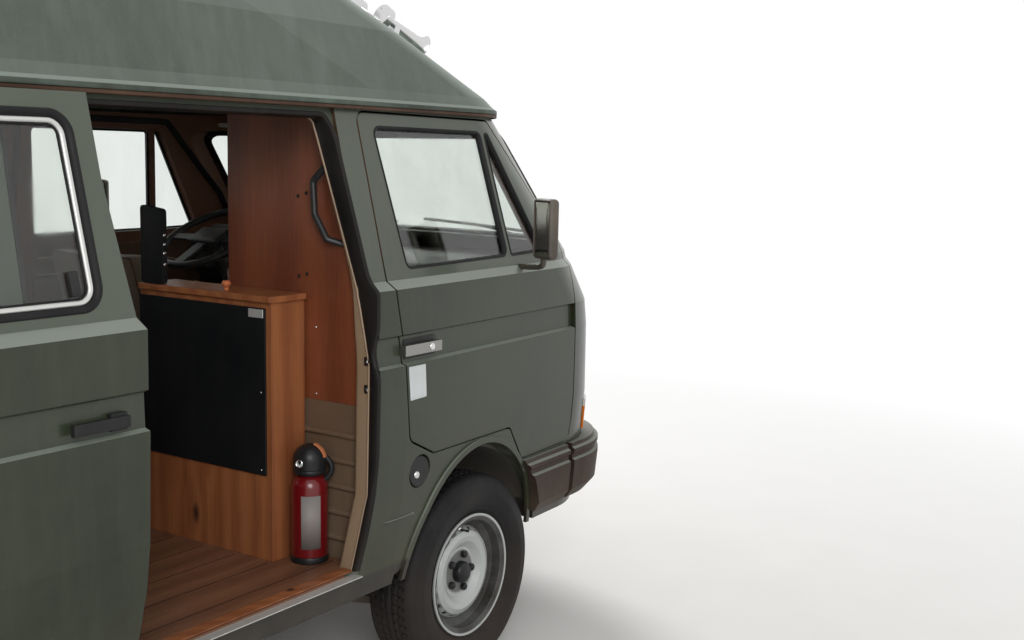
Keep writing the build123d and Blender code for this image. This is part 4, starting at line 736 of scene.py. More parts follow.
def fluted_glass_finish():
    """Lamp glass moulded with upright flutes."""
    f = Finish("fluted lamp glass")
    parts = f.add("SeparateXYZ", {0: f.place}).outputs
    flutes = f.math("ABSOLUTE", f.math("SINE", f.times(parts["Y"], 260.0)))
    bars = f.math("ABSOLUTE", f.math("SINE", f.times(parts["Z"], 70.0)))
    rough = f.spread(f.noise(f.place, 9.0, 4.0), 0.4, 0.8, 0.03, 0.12)
    height = f.plus(flutes, f.times(bars, 0.4))
    return f.done(color=(0.93, 0.94, 0.93, 1), roughness=rough, transmission=1.0, ior=1.45,
                  normal=f.bump(height, 0.5, 0.002))


def cloth_finish(name, light, dark, threads=1600.0):
    """Woven seat cloth, a little worn and faded in patches."""
    f = Finish(name)
    weave = f.effect("weave", Vector=f.place, Threads=threads)
    color = f.mix(weave["Tone"], dark, light)
    color = f.mix(f.spread(f.noise(f.place, 3.0, 4.0), 0.4, 0.75, 0.0, 0.35), color, light)
    rough = f.spread(weave["Height"], 0.0, 1.0, 0.95, 0.8)
    return f.done(color=color, roughness=rough, normal=f.bump(weave["Height"], 0.35, 0.0008), sheen=0.3,
                  sheen_roughness=0.5)


def tyre_finish():
    """Weathered tyre rubber: brown dust on the tread, grey bloom on the sidewall."""
    f = Finish("tyre rubber")
    worn = f.effect("weathered", Vector=f.place, Paint=(0.007, 0.007, 0.008, 1), Faded=(0.022, 0.020, 0.019, 1),
                    Amount=0.6, Patches=5.0)
    dusty = f.effect("dust", Vector=f.place, Color=worn["Color"], Dust=(0.09, 0.062, 0.045, 1), Reach=0.5, Amount=0.4)
    texture = f.effect("grain", Vector=f.place, Scale=700.0)
    rough = f.plus(texture["Shine"], f.plus(0.62, f.times(dusty["Mask"], 0.25)))
    return f.done(color=dusty["Color"], roughness=rough, normal=f.bump(texture["Height"], 0.25, 0.0005), specular=0.2)


GREEN = (0.014, 0.019, 0.009, 1)
GREEN_FADED = (0.042, 0.050, 0.028, 1)
# The pale green painted on faces that lean up, a painted reflection of the sky
GREEN_SKY_SHEEN = (0.22, 0.25, 0.21, 1)
ROOF_FADED = (0.100, 0.130, 0.108, 1)
# Near black for the body's lowest few centimetres: sealant, and painted shade
UNDERSEAL_AND_SHADE = (0.010, 0.010, 0.010, 1)
# Lighter brown on the lining's rounded edges, a painted highlight
INSIDE_EDGE_HIGHLIGHT = (0.30, 0.16, 0.10, 1)
BEIGE = (0.27, 0.185, 0.115, 1)
TRIM_BROWN = (0.15, 0.068, 0.040, 1)

body_green = paint_finish("body green", GREEN, GREEN_FADED, 0.6, 0.28, dust=0.35, inside=TRIM_BROWN, coat=0.35,
                          sky_sheen=GREEN_SKY_SHEEN, underseal_and_shade=UNDERSEAL_AND_SHADE)
# The roof's last colour is a painted reflection of the sky on faces that lean up
roof_green = paint_finish("roof green", GREEN, ROOF_FADED, 0.85, 0.46, dust=0.0, edge=0.008, coat=0.06,
                          sky_sheen=(0.24, 0.28, 0.25, 1))
jamb_beige = paint_finish("jamb beige", BEIGE, (0.36, 0.27, 0.18, 1), 0.4, 0.42, dust=0.5, coat=0.1)
# The bulkhead is the same beige as the jamb, darkened as painted shade
bulkhead_beige_shaded = paint_finish("bulkhead paint", (0.125, 0.080, 0.050, 1), (0.19, 0.135, 0.09, 1), 0.5, 0.42, dust=0.5,
                              coat=0.1)
floor_dark = paint_finish("floor paint", (0.06, 0.055, 0.05, 1), (0.12, 0.11, 0.095, 1), 0.6, 0.55, coat=0.0)
chassis_black = metal_finish("chassis paint", (0.035, 0.035, 0.036, 1), 0.45, 0.6, 0.1, dust=0.8)
wheel_silver = wheel_finish()
door_furniture = fittings_finish()
lamp_glass = fluted_glass_finish()
# The bumper's last colour is a painted reflection of the sky on faces that look up
trim_grey = plastic_finish("bumper plastic", (0.022, 0.012, 0.009, 1), (0.052, 0.034, 0.026, 1), 0.5,
                           specular=0.15, sky_sheen=(0.20, 0.215, 0.185, 1))
trim_black = plastic_finish("black plastic", (0.009, 0.009, 0.010, 1), (0.028, 0.027, 0.026, 1), 0.5)
seal_rubber = plastic_finish("window rubber", (0.006, 0.006, 0.007, 1), (0.018, 0.018, 0.018, 1), 0.55, dust=0.2,
                             specular=0.2)
drip_rubber = plastic_finish("drip rubber", (0.040, 0.018, 0.010, 1), (0.095, 0.050, 0.028, 1), 0.6, dust=0.0)
dash_grey = plastic_finish("dashboard plastic", (0.028, 0.026, 0.025, 1), (0.06, 0.055, 0.05, 1), 0.6, dust=0.0)
wheel_black = plastic_finish("steering plastic", (0.012, 0.012, 0.013, 1), (0.04, 0.038, 0.036, 1), 0.4, dust=0.0)
panel_black = plastic_finish("black panel", (0.005, 0.006, 0.007, 1), (0.014, 0.014, 0.014, 1), 0.5, 300.0, 0.1,
                             dust=0.0, specular=0.2)
chrome = metal_finish("chrome", (0.66, 0.66, 0.66, 1), 0.08, 0.14, 1.0)
aluminium = metal_finish("worn aluminium", (0.62, 0.62, 0.60, 1), 0.06, 0.38, 0.55, dust=0.2)
exhaust_steel = metal_finish("exhaust steel", (0.22, 0.19, 0.17, 1), 0.75, 0.55, 0.6)
engine_iron = metal_finish("engine iron", (0.14, 0.14, 0.14, 1), 0.5, 0.55, 0.6)
bottle_red = paint_finish("bottle enamel", (0.13, 0.003, 0.005, 1), (0.18, 0.008, 0.010, 1), 0.3, 0.22, dust=0.0,
                          coat=0.6)
grab_black = metal_finish("grab enamel", (0.02, 0.02, 0.021, 1), 0.15, 0.4, 0.1, dust=0.0)
glass_clear = glass_finish("window glass", (0.86, 0.90, 0.87, 1))
orange_lens = banded_finish("orange lens", ((0.742, (0.80, 0.20, 0.012, 1)), (1.0, (0.82, 0.78, 0.72, 1))), 420.0)
red_lens = banded_finish("tail lamp lens", (
    (0.775, (0.72, 0.70, 0.66, 1)), (0.88, (0.46, 0.012, 0.010, 1)), (1.2, (0.80, 0.22, 0.015, 1))), 420.0)
vinyl_brown = plastic_finish("brown vinyl", (0.070, 0.038, 0.024, 1), (0.15, 0.09, 0.06, 1), 0.45, 260.0, 0.3, dust=0.0)
piping_tan = plastic_finish("tan piping", (0.30, 0.21, 0.14, 1), (0.45, 0.34, 0.24, 1), 0.5, dust=0.0)
jamb_rubber = plastic_finish("jamb rubber", (0.007, 0.006, 0.006, 1), (0.020, 0.017, 0.015, 1), 0.5, 300.0, dust=0.15,
                             specular=0.2)
label_grey = plastic_finish("bottle label", (0.20, 0.175, 0.165, 1), (0.26, 0.24, 0.23, 1), 0.45, dust=0.0)
label_white = plastic_finish("bare label", (0.62, 0.65, 0.66, 1), (0.50, 0.52, 0.52, 1), 0.35, dust=0.15)
plate_white = plastic_finish("bare plate", (0.70, 0.70, 0.66, 1), (0.55, 0.54, 0.50, 1), 0.3, dust=0.3)
bottle_black = plastic_finish("bottle fittings", (0.006, 0.007, 0.008, 1), (0.018, 0.018, 0.019, 1), 0.35, dust=0.0)
tab_orange = plastic_finish("pull tab", (0.46, 0.11, 0.035, 1), (0.55, 0.22, 0.10, 1), 0.45, dust=0.0)
pad_grey = plastic_finish("visor vinyl", (0.28, 0.25, 0.21, 1), (0.36, 0.33, 0.28, 1), 0.6, dust=0.0)
mirror_silver = metal_finish("mirror glass", (0.36, 0.34, 0.31, 1), 0.0, 0.03, 1.0, dust=0.0)
seat_cloth = cloth_finish("seat cloth", (0.20, 0.15, 0.105, 1), (0.10, 0.072, 0.05, 1))
rubber_tyre = tyre_finish()
# Turns the grain, which runs upright, lengthways
GRAIN_ALONG = (0, pi / 2, 0)
plywood = wood_finish("plywood", (0.21, 0.058, 0.022, 1), (0.11, 0.027, 0.011, 1), 5.0, 0.12, 0.34)
pine = wood_finish("pine", (0.34, 0.122, 0.044, 1), (0.20, 0.060, 0.021, 1), 13.0, 1.0, 0.40)
floor_boards = wood_finish("floor wood", (0.21, 0.095, 0.050, 1), (0.115, 0.047, 0.024, 1), 9.0, 0.5, 0.4,
                           turn=GRAIN_ALONG)

NODE_FINISHES = {
    "body_shell": body_green, "door_left": body_green, "door_right": body_green, "sliding_door": body_green,
    "tailgate": body_green, "high_roof": roof_green, "windscreen": glass_clear, "side_glass": glass_clear,
    "door_glass_left": glass_clear, "door_glass_right": glass_clear, "sliding_door_glass": glass_clear,
    "tailgate_glass": glass_clear, "door_fittings_left": door_furniture, "door_fittings_right": door_furniture,
    "sliding_door_gear": trim_black, "bumpers": trim_grey, "grille": trim_black, "headlamps": chrome,
    "indicators": orange_lens, "tail_lamps": red_lens, "fuel_cap": trim_black, "roof_horns": chrome,
    "floor_panels": floor_dark, "bulkheads": bulkhead_beige_shaded, "partition": plywood, "grab_handle": grab_black,
    "wood_floor": floor_boards, "furniture": pine, "cabinet_panel": panel_black, "fire_extinguisher": bottle_red,
    "cushions": seat_cloth, "dashboard": dash_grey, "steering_wheel": wheel_black, "running_gear": chassis_black,
    "knuckle_left": chassis_black, "knuckle_right": chassis_black, "engine": engine_iron,
    "exhaust": exhaust_steel, "fuel_tank": chassis_black,
}
for node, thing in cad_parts.items():
    finish = NODE_FINISHES.get(node) or (rubber_tyre if node.startswith("tyre") else wheel_silver)
    if not thing.material_slots:
        thing.data.materials.append(finish)
    for place in thing.material_slots:
        place.material = finish

# Window rubbers

# Profiles of (across, up) points about a window's edge: across grows over the body, up from the outer skin
GASKET = ((15, -2), (15, 2), (12, 4.5), (6, 5.5), (-1, 5), (-7, 1), (-12, -5), (-14, -10), (-14, -18.5), (-1, -18.5),
          (-1, -2))
SLIM_GASKET = ((4, -2), (4, 1), (2, 2.2), (-1, 1.5), (-4, -1), (-6, -6), (-7, -10), (-7, -18.5), (-1, -18.5), (-1, -2))
BAND_GASKET = ((9, -2), (9, 2), (6, 4), (0, 3.5), (-4, 0), (-7, -5), (-8, -12), (-8, -18.5), (-1, -18.5), (-1, -2))
BRIGHT_STRIP = ((-8, -11), (-8, -6), (-10, -4), (-16, -4.5), (-18.5, -7), (-19, -11.8))
INNER_STRIP = ((-19, -11.8), (-19.5, -9), (-23, -9), (-24, -11.8))


def window_line(node, corners, radius, side):
    """The window's edge on the outer skin: laid on the pane a little inside its edge, then brought out."""
    return laid(Skin(node), rounded(corners, radius), side, inward=LAID_INSIDE, height=GLASS_INSET)


def gaskets():
    """Rubber profiles carried round the window edges; the sliding door's has a bright frame inside it."""
    right, left = [], []
    for corners, radius, profile in ((DOOR_MAIN_WINDOW, 24.0, SLIM_GASKET), (DOOR_VENT_WINDOW, 8.0, SLIM_GASKET)):
        for side, node, found in (("right", "door_glass_right", right), ("left", "door_glass_left", left)):
            path, lift = window_line(node, corners, radius, side)
            found.append(sweep(path, lift, profile))
    piece("door_window_rubber_right", right, seal_rubber, "door_right")
    piece("door_window_rubber_left", left, seal_rubber, "door_left")

    fixed = []
    for corners, side, node in ((REAR_SIDE_WINDOW, "right", "side_glass"), (REAR_SIDE_WINDOW, "left", "side_glass"),
                                (MIDDLE_SIDE_WINDOW, "left", "side_glass"), (WINDSCREEN, "front", "windscreen")):
        path, lift = window_line(node, corners, 60.0, side)
        fixed.append(sweep(path, lift, GASKET))
    piece("fixed_window_rubber", fixed, seal_rubber)

    path, lift = window_line("tailgate_glass", TAILGATE_WINDOW, 45.0, "tail")
    piece("tailgate_window_rubber", [sweep(path, lift, GASKET)], seal_rubber, "tailgate")

    moved = np.array(SLIDING_WINDOW, float) - (SLIDE_BACK, 0)
    path, lift = window_line("sliding_door_glass", moved, 45.0, "right")
    piece("sliding_window_rubber", [sweep(path, lift, BAND_GASKET), sweep(path, lift, INNER_STRIP)], seal_rubber)
    piece("sliding_window_frame", [sweep(path, lift, BRIGHT_STRIP)], aluminium, "body")
    pane = Skin("sliding_door_glass")
    catch = rounded(((-1496, 1380), (-1474, 1380), (-1472, 1329), (-1494, 1329)), 3.0)
    piece("window_catch", [panel(pane, catch, "right", 9.0, 2.0)], trim_black)


gaskets()

# Tyres

TREAD_PROFILE = (
    (178.5, 60.0), (184.0, 66.0), (196.0, 72.0), (203.0, 74.5), (206.0, 78.0), (212.0, 80.0), (216.0, 82.5),
    (230.0, 88.0), (246.0, 92.0), (258.0, 93.5), (264.0, 94.0), (268.0, 92.6), (278.0, 91.5), (286.0, 90.0),
    (290.0, 89.5), (294.0, 86.5), (302.0, 82.0), (309.0, 75.5), (313.5, 68.0),
)
TREAD_HALF = 60.0
TREAD_DEPTH = 8.0
CROWN_R = 318.0
CROWN_DROP = 2.2
LUGS = 66
STEPS_PER_LUG = 8
GROOVES = (-33.0, -11.0, 11.0, 33.0)
GROOVE_HALF = 3.4


def each_wheel(kind):
    """Each wheel's place, its centre and its outward way, with y found from its node of one kind."""
    for end, axle_x in (("front", 0.0), ("rear", REAR_AXLE_X)):
        for hand, outward in (("left", 1), ("right", -1)):
            low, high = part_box(f"{kind}_{end}_{hand}")
            yield f"{end}_{hand}", (axle_x, (low.y + high.y) / 2 / MM, WHEEL_Z), outward


def tyre(name, body, centre, outward):
    """A tyre as a grid of (turn, profile): the radius follows the sidewall table, then the crown's arc,
    less the tread's depth where the ribs' grooves or the slanted cuts between the lugs lie."""
    side = np.array(TREAD_PROFILE)
    crown = np.linspace(TREAD_HALF, -TREAD_HALF, 49)
    crown_r = CROWN_R - CROWN_DROP * (crown / TREAD_HALF) ** 2
    bead = [(186.0, -52.0), (186.0, 52.0)]
    profile = np.concatenate((side, np.stack((crown_r, crown), 1), (side * (1, -1))[::-1], bead))
    turn = tau * np.arange(LUGS * STEPS_PER_LUG) / (LUGS * STEPS_PER_LUG)
    radius = np.broadcast_to(profile[:, 0], (len(turn), len(profile))).copy()
    offset = profile[:, 1]
    grooves = np.maximum.reduce([np.exp(-((offset - at) / GROOVE_HALF) ** 4) for at in GROOVES])
    slant = turn[:, None] * LUGS + offset[None] * 0.035
    zigzag = np.where(np.abs(offset[None]) > GROOVES[-1], slant, slant + pi / LUGS)
    cuts = np.clip((np.cos(zigzag) - 0.62) * 5.0, 0, 1)
    wide = np.abs(offset)[None]
    cuts = cuts * np.where(wide > 13.0, 1.0, 0.35) * np.clip((61.0 - wide) / 8.0, 0, 1)
    on_tread = np.clip((radius - 296.0) / 8.0, 0, 1)
    depth = TREAD_DEPTH * np.maximum(grooves[None] * (wide < TREAD_HALF + 2), cuts * 0.8) * on_tread
    radius = radius - depth
    points = np.stack((
        centre[0] + radius * np.sin(turn)[:, None],
        np.broadcast_to(centre[1] + outward * offset[None], radius.shape),
        centre[2] + radius * np.cos(turn)[:, None]), 2)
    made = piece(name + "_tread", [shell(points, wrap_u=True, wrap_v=True)], rubber_tyre, body, 30.0)
    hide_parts(name)


for wheel, hub, outward in each_wheel("tyre"):
    tyre("tyre_" + wheel, "wheel_" + wheel, hub, outward)

# Wheel centres and bolts

BOLT_CIRCLE_R = 56.0
BOLTS = 5
VALVE_R = 137.0


def wheel_details(name, body, centre, outward):
    """Turned profiles on the wheel's axis: the cap, five bolt covers on their circle, and the valve."""
    axis = (0, outward, 0)
    cap = [(0.5, 61.5), (12, 61), (22, 59), (29, 55.5), (33, 51), (34.2, 46), (34.2, 30.2)]
    shells = [turned(cap, centre, axis, 40)]
    cover = [(0.5, 47), (7.5, 46.5), (11.6, 43.5), (11.8, 30.3)]
    for angle in tau * np.arange(BOLTS) / BOLTS + pi / 2:
        place = np.array(centre) + (BOLT_CIRCLE_R * sin(angle), 0, BOLT_CIRCLE_R * cos(angle))
        shells.append(turned(cover, place, axis, 6))
    valve = [(0.4, 66), (3.4, 65.5), (4.0, 60), (4.0, 56), (2.8, 55), (2.8, 34)]
    shells.append(turned(valve, np.array(centre) + (0, 0, VALVE_R), axis, 12))
    piece(name, shells, bottle_black, body)


for wheel, hub, outward in each_wheel("rim"):
    wheel_details("wheel_cap_" + wheel, "wheel_" + wheel, hub, outward)

# Headlamps: reflector bowl, fluted lens and bezel

def headlamps():
    """Profiles of (radius, x) turned about each lamp's axis: the bowl is a paraboloid, whose x grows with
    the radius squared, and the lens a flatter one that bulges forward."""
    radii = np.linspace(14, 86, 10)
    curve = 46 * (radii / 86) ** 2
    bowl = np.concatenate((np.stack((radii, 852 + curve), 1), np.stack((radii + 1.5, 849 + curve), 1)[::-1]))
    radii = np.linspace(0.5, 87, 9)
    curve = 15 * (1 - (radii / 88) ** 2)
    lens = np.concatenate((np.stack((radii, 911 + curve), 1), np.stack((radii, 907 + curve), 1)[::-1]))
    bezel = [(96, 876), (96, 908), (94.5, 912), (91, 914), (87.5, 912), (86.5, 906), (86.5, 876)]
    bulb = [(0.5, 884), (6, 883), (9, 878), (9, 868), (5, 866), (5, 853)]
    back = [(0.5, 843), (95, 843), (95, 834), (0.5, 834)]
    glass, plated, dark = [], [], []
    for y in (-600, 600):
        centre, axis = (0, y, 905), (1, 0, 0)
        glass.append(turned(lens, centre, axis, 64, closed=False))
        plated += [turned(bowl, centre, axis, 64, closed=True), turned(bulb, centre, axis, 20)]
        dark += [turned(bezel, centre, axis, 64, closed=True), turned(back, centre, axis, 48)]
    lenses = piece("headlamp_lens", glass, lamp_glass, "body")
    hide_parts("headlamps")
    piece("headlamp_reflector", plated, chrome, "body")
    piece("headlamp_bezel", dark, trim_black)


headlamps()

# Doorway rubber, lining and sill, the gutter under the roof lip, and the front doors' seals

# How far outside the doorway's edge, and inside the door's, a line is laid on the skin and brought back
DOORWAY_LAID = 12.0
SEAL_LAID = 9.0


def strip(first, last, lift, section, outward, step=40.0):
    """A profile carried straight from one point to another."""
    return sweep(dense((first, last), step, False), lift, section, False, outward)


def off_line(line, sign):
    """At each point of an open flat line, the direction across it, pointing from its middle when sign is 1."""
    tangent = unit(np.gradient(line, axis=0))
    across = np.stack((tangent[:, 1], -tangent[:, 0]), 1)
    return across * (sign * np.sign((across * (line - line.mean(0))).sum()))


def doorway_trim():
    """Profiles of (across, depth) carried up the doorway's front edge, over its top and down its rear edge."""
    edge = rounded(((-550, 486), (-518, 700), (-503, 1256), (-556, 1728), (-1540, 1728), (-1553, 1250), (-1565, 486)),
                   28.0, 20.0, closed=False)
    outwards = off_line(edge, 1)
    away = seen_plane("right", *outwards.T)
    path, _ = Skin("body_shell").lay(seen_plane("right", *(edge + outwards * DOORWAY_LAID).T), VIEWS["right"])
    path = smoothed(path - away * DOORWAY_LAID, False, 2)
    normal = unit(np.array((0.0, -1.0, 0.12)))

    def carried(profiles):
        return shell(path[:, None] + profiles[..., :1] * away[:, None] + profiles[..., 1:] * normal, caps=True)

    knots = np.array((486.0, 700.0, 1060.0, 1310.0, 1728.0))
    bulge = np.zeros(len(edge))
    for part in (edge[:, 0] > -700, edge[:, 0] < -1400):
        order = np.argsort(edge[part, 1])
        high, out = edge[part, 1][order], np.abs(path[part, 1])[order]
        bulge[part] = np.abs(path[part, 1]) - np.interp(edge[part, 1], knots, np.interp(knots, high, out))
    depth = np.interp(edge[:, 1], knots, (21.0, 21.0, 21.0, 46.0, 46.0)) + bulge
    rubber = np.array(((3, 1.0), (2, 3.0), (-3, 3.5), (-9, 1), (-12, -0.2), (-12.5, -0.5), (-10, -0.8), (-6, -0.97),
                       (-0.4, -1), (-0.4, -0.1), (3, 0.2)))
    rubbers = np.broadcast_to(rubber, (len(edge),) + rubber.shape).copy()
    below = rubbers[..., 1] < 0
    rubbers[..., 1] = np.where(below, rubbers[..., 1] * depth[:, None], rubbers[..., 1])
    start = -depth[:, None] - 1.0
    end = -(np.interp(edge[:, 1], knots, (72.0, 72.0, 72.0, 60.0, 52.5)) + bulge)[:, None]
    lining = np.stack((np.broadcast_to((-0.3, -2.4, -3.0, -3.0, -2.0, -0.3), (len(edge), 6)),
                       start + (end - start) * np.array((0.0, 0.02, 0.15, 0.80, 0.96, 1.0))), 2)
    bead = np.array(((-2.6, 3.4), (-6.4, 3.6), (-8.6, 1.4), (-8.0, -1.4), (-5.0, -2.6), (-2.6, -1.8)))
    beads = np.broadcast_to(bead, (len(edge),) + bead.shape) - np.stack((0 * depth, depth + 2.0), 1)[:, None]
    piece("doorway_rubber", [carried(rubbers)], jamb_rubber)
    piece("doorway_lining", [carried(lining)], jamb_beige, "body")
    piece("doorway_bead", [carried(beads)], piping_tan)
    sill = strip((-1556, -886, 475.6), (-556, -886, 475.6), (0, 0, 1), oblong(34, 2.4, 1.0), (0, 1, 0))
    piece("sill_strip", [sill], aluminium, "body")
    edging = strip((-1550, -846, 483.6), (-506, -846, 483.6), (0, 0, 1), oblong(40, 3.0, 1.2), (0, 1, 0))
    piece("floor_edge_strip", [edging], pine, "body")
    strikers, bolts = [], []
    for z in (1064, 987):
        strikers.append(box_round((-515.5, -896, z - 12), (-511.5, -868, z + 12), 3.0))
        bolts.append(turned([(0.4, -7), (4, -6.5), (5.5, -4), (5.5, 0)], (-515.5, -882, z), (1, 0, 0), 6))
    piece("striker_plates", strikers, trim_black)
    piece("striker_bolts", bolts, chrome, "body")


def gutter():
    """A J-shaped profile carried along the body's top edge, from one tail corner round the nose to the other."""
    path = level_ring(Skin("body_shell"), height=1746.0, from_x=-3080.0)
    section = ((-1.5, 5.6), (21, 5.6), (22.5, 2), (22, -3), (19.5, -5.2), (18.2, -3), (17.5, 0.5), (10, 1.5), (3, -0.5),
               (-1.5, -5))
    piece("roof_gutter", [sweep(path, (0, 0, 1), section, False, path - path.mean(0))], drip_rubber)


def door_seals():
    """Soft strips inside the cab over the top and rear shut lines of the front doors."""
    line = rounded(((-392, 1050), (-432, 1278), (-450, 1731), (182, 1725), (462, 1450), (520, 1366)), 24.0, 20.0,
                   closed=False)
    inwards = off_line(line, -1)
    points = seen_plane("right", *(line + inwards * SEAL_LAID).T)
    shift = seen_plane("right", *inwards.T) * -SEAL_LAID
    for hand in ("right", "left"):
        path, normal = Skin("door_" + hand).lay(points, -VIEWS[hand], 0.0)
        normal = unit(smoothed(normal, False, 8))
        path = smoothed(path + shift, False, 4) + normal * 6.5
        piece("door_seal_" + hand, [sweep(path, normal, oblong(24, 5, 2.0), False, (1, 0, 0))], jamb_rubber)


doorway_trim()
gutter()
door_seals()

# Door furniture, lids and labels on the skin

def door_details():
    """Plates laid on the door skins: a black plate as painted shade in the handle recess, the lock and the bare label.
    """
    recess = rounded(((-412, 1112), (-234, 1112), (-234, 1056), (-412, 1056)), 10.0)
    for hand, sign in (("right", -1), ("left", 1)):
        # A black plate laid in the handle recess stands for the shade there: painted shade
        plate = panel(Skin("door_" + hand), recess, hand, 1.6, 0.8)
        piece("handle_recess_shade_" + hand, [plate], trim_black, "door_" + hand)
        out = (0, sign, 0)
        lock = turned([(0.4, 17), (7.5, 16.5), (9.5, 14), (10, 0)], (-252, sign * 907.0, 1083), out, 28)
        button = turned([(0.4, 16), (9, 15.5), (11, 13.5), (11.5, 0)], (-285, sign * 913.0, 1083), out, 28)
        piece("handle_lock_" + hand, [lock, button], chrome, "door_" + hand)
    label = rounded(((-385, 1036), (-306, 1035), (-300, 940), (-376, 939)), 3.0)
    piece("bare_label", [panel(Skin("door_right"), label, "right", 0.8, 0.4)], label_white, "door_right")


def plates():
    """Bare number plates laid on the bumper's nose and on the tailgate, with the tailgate's lamp and handle."""
    front = rounded(((-260, 582), (260, 582), (260, 474), (-260, 474)), 8.0)
    piece("front_plate", [panel(Skin("bumpers"), front, "front", 3.0, 1.2)], plate_white)
    gate = Skin("tailgate")
    rear = rounded(((-260, 960), (260, 960), (260, 850), (-260, 850)), 8.0)
    piece("rear_plate", [panel(gate, rear, "tail", 3.0, 1.2)], plate_white, "tailgate")
    lamp = rounded(((-70, 996), (70, 996), (70, 974), (-70, 974)), 6.0)
    piece("plate_lamp", [panel(gate, lamp, "tail", 22.0, 5.0)], trim_black, "tailgate")
    handle = rounded(((-95, 1180), (95, 1180), (95, 1146), (-95, 1146)), 8.0)
    grip = panel(gate, handle, "tail", 16.0, 5.0, crown=4.0)
    piece("tailgate_handle", [grip], trim_black, "tailgate")
    place = gate.lay([(0, 0, 1110)], VIEWS["tail"])[0][0]
    lock = turned([(0.4, 9), (11, 8.5), (13, 6), (13.5, -8)], place, (-1, 0, 0), 28)
    piece("tailgate_lock", [lock], chrome, "tailgate")


def wipers():
    """Arms and blades carried along lines laid on the windscreen, the arm rising from its spindle."""
    glass = Skin("windscreen", "body_shell")
    rubber, arms = [], []

    def along(ys, zs, lift, section):
        path, normal = glass.lay(seen_plane("front", ys, zs), VIEWS["front"])
        normal = unit(smoothed(normal, False, 8))
        return sweep(smoothed(path, False, 4) + normal * lift, normal, section, False, (0, 0, 1))

    for pivot in (-610.0, 40.0):
        ys, zs = np.linspace(pivot + 60, pivot + 560, 26), np.linspace(1346, 1366, 26)
        rubber.append(along(ys, zs, 7.0, oblong(6, 12, 2.0)))
        rise = 9.0 + 9.0 * np.sin(np.linspace(0, pi, 20))[:, None]
        ys, zs = np.linspace(pivot, pivot + 320, 20), np.linspace(1292, 1357, 20)
        arms.append(along(ys, zs, rise, oblong(12, 5, 2.0)))
        foot, out = glass.lay([(0, pivot, 1290)], VIEWS["front"])
        arms.append(turned([(0.4, 22), (9, 21), (12, 17), (13, 6), (16, 0), (16, -4)], foot[0], out[0], 24))
    piece("wiper_blades", rubber, seal_rubber)
    piece("wiper_arms", arms, trim_black)


MIRROR_TURN = radians(25.0)


def lid_details():
    """The lock in the fuel cap, and mirror glasses in their turned rims."""
    cap = Skin("fuel_cap").lay([(-334, 0, 716)], VIEWS["right"])[0][0]
    piece("fuel_cap_lock", [turned([(0.4, 5), (9, 4.6), (11, 2.5), (11.5, -2)], cap, (0, -1, 0), 28)], chrome, "body")
    for hand, sign in (("right", -1), ("left", 1)):
        facing = np.array((-cos(MIRROR_TURN), -sign * sin(MIRROR_TURN), 0.0))
        sideways = np.array((-facing[1], facing[0], 0.0))
        outline = oblong(82, 164, 9.0, 12.0)
        centre = np.array((104.0, sign * 1052.0, 1407.0))
        rings = [centre + facing * (12.6 + lift) + scale * (outline[:, :1] * sideways + outline[:, 1:] * (0, 0, 1.0))
                 for scale, lift in ((1.0, 0.0), (1.0, 1.2), (0.97, 1.8), (0.5, 1.9), (0.02, 1.9))]
        piece("mirror_glass_" + hand, [shell(np.stack(rings), caps=True)], mirror_silver, "door_" + hand)


def wing_crease():
    """A low rounded rib carried along a line laid on the wing behind the front wheel."""
    line = seen_plane("right", np.linspace(-466, -330, 12), np.linspace(601, 600, 12))
    path, normal = Skin("body_shell").lay(line, VIEWS["right"])
    ends = np.sin(np.linspace(0, pi, 12))[:, None] ** 0.3 * 3.0 - 1.5
    piece("wing_crease", [sweep(path + normal * ends, normal, oblong(9, 4, 1.8), False, (0, 0, 1))], body_green, "body")


door_details()
wing_crease()
plates()
wipers()
lid_details()

# Fire extinguisher

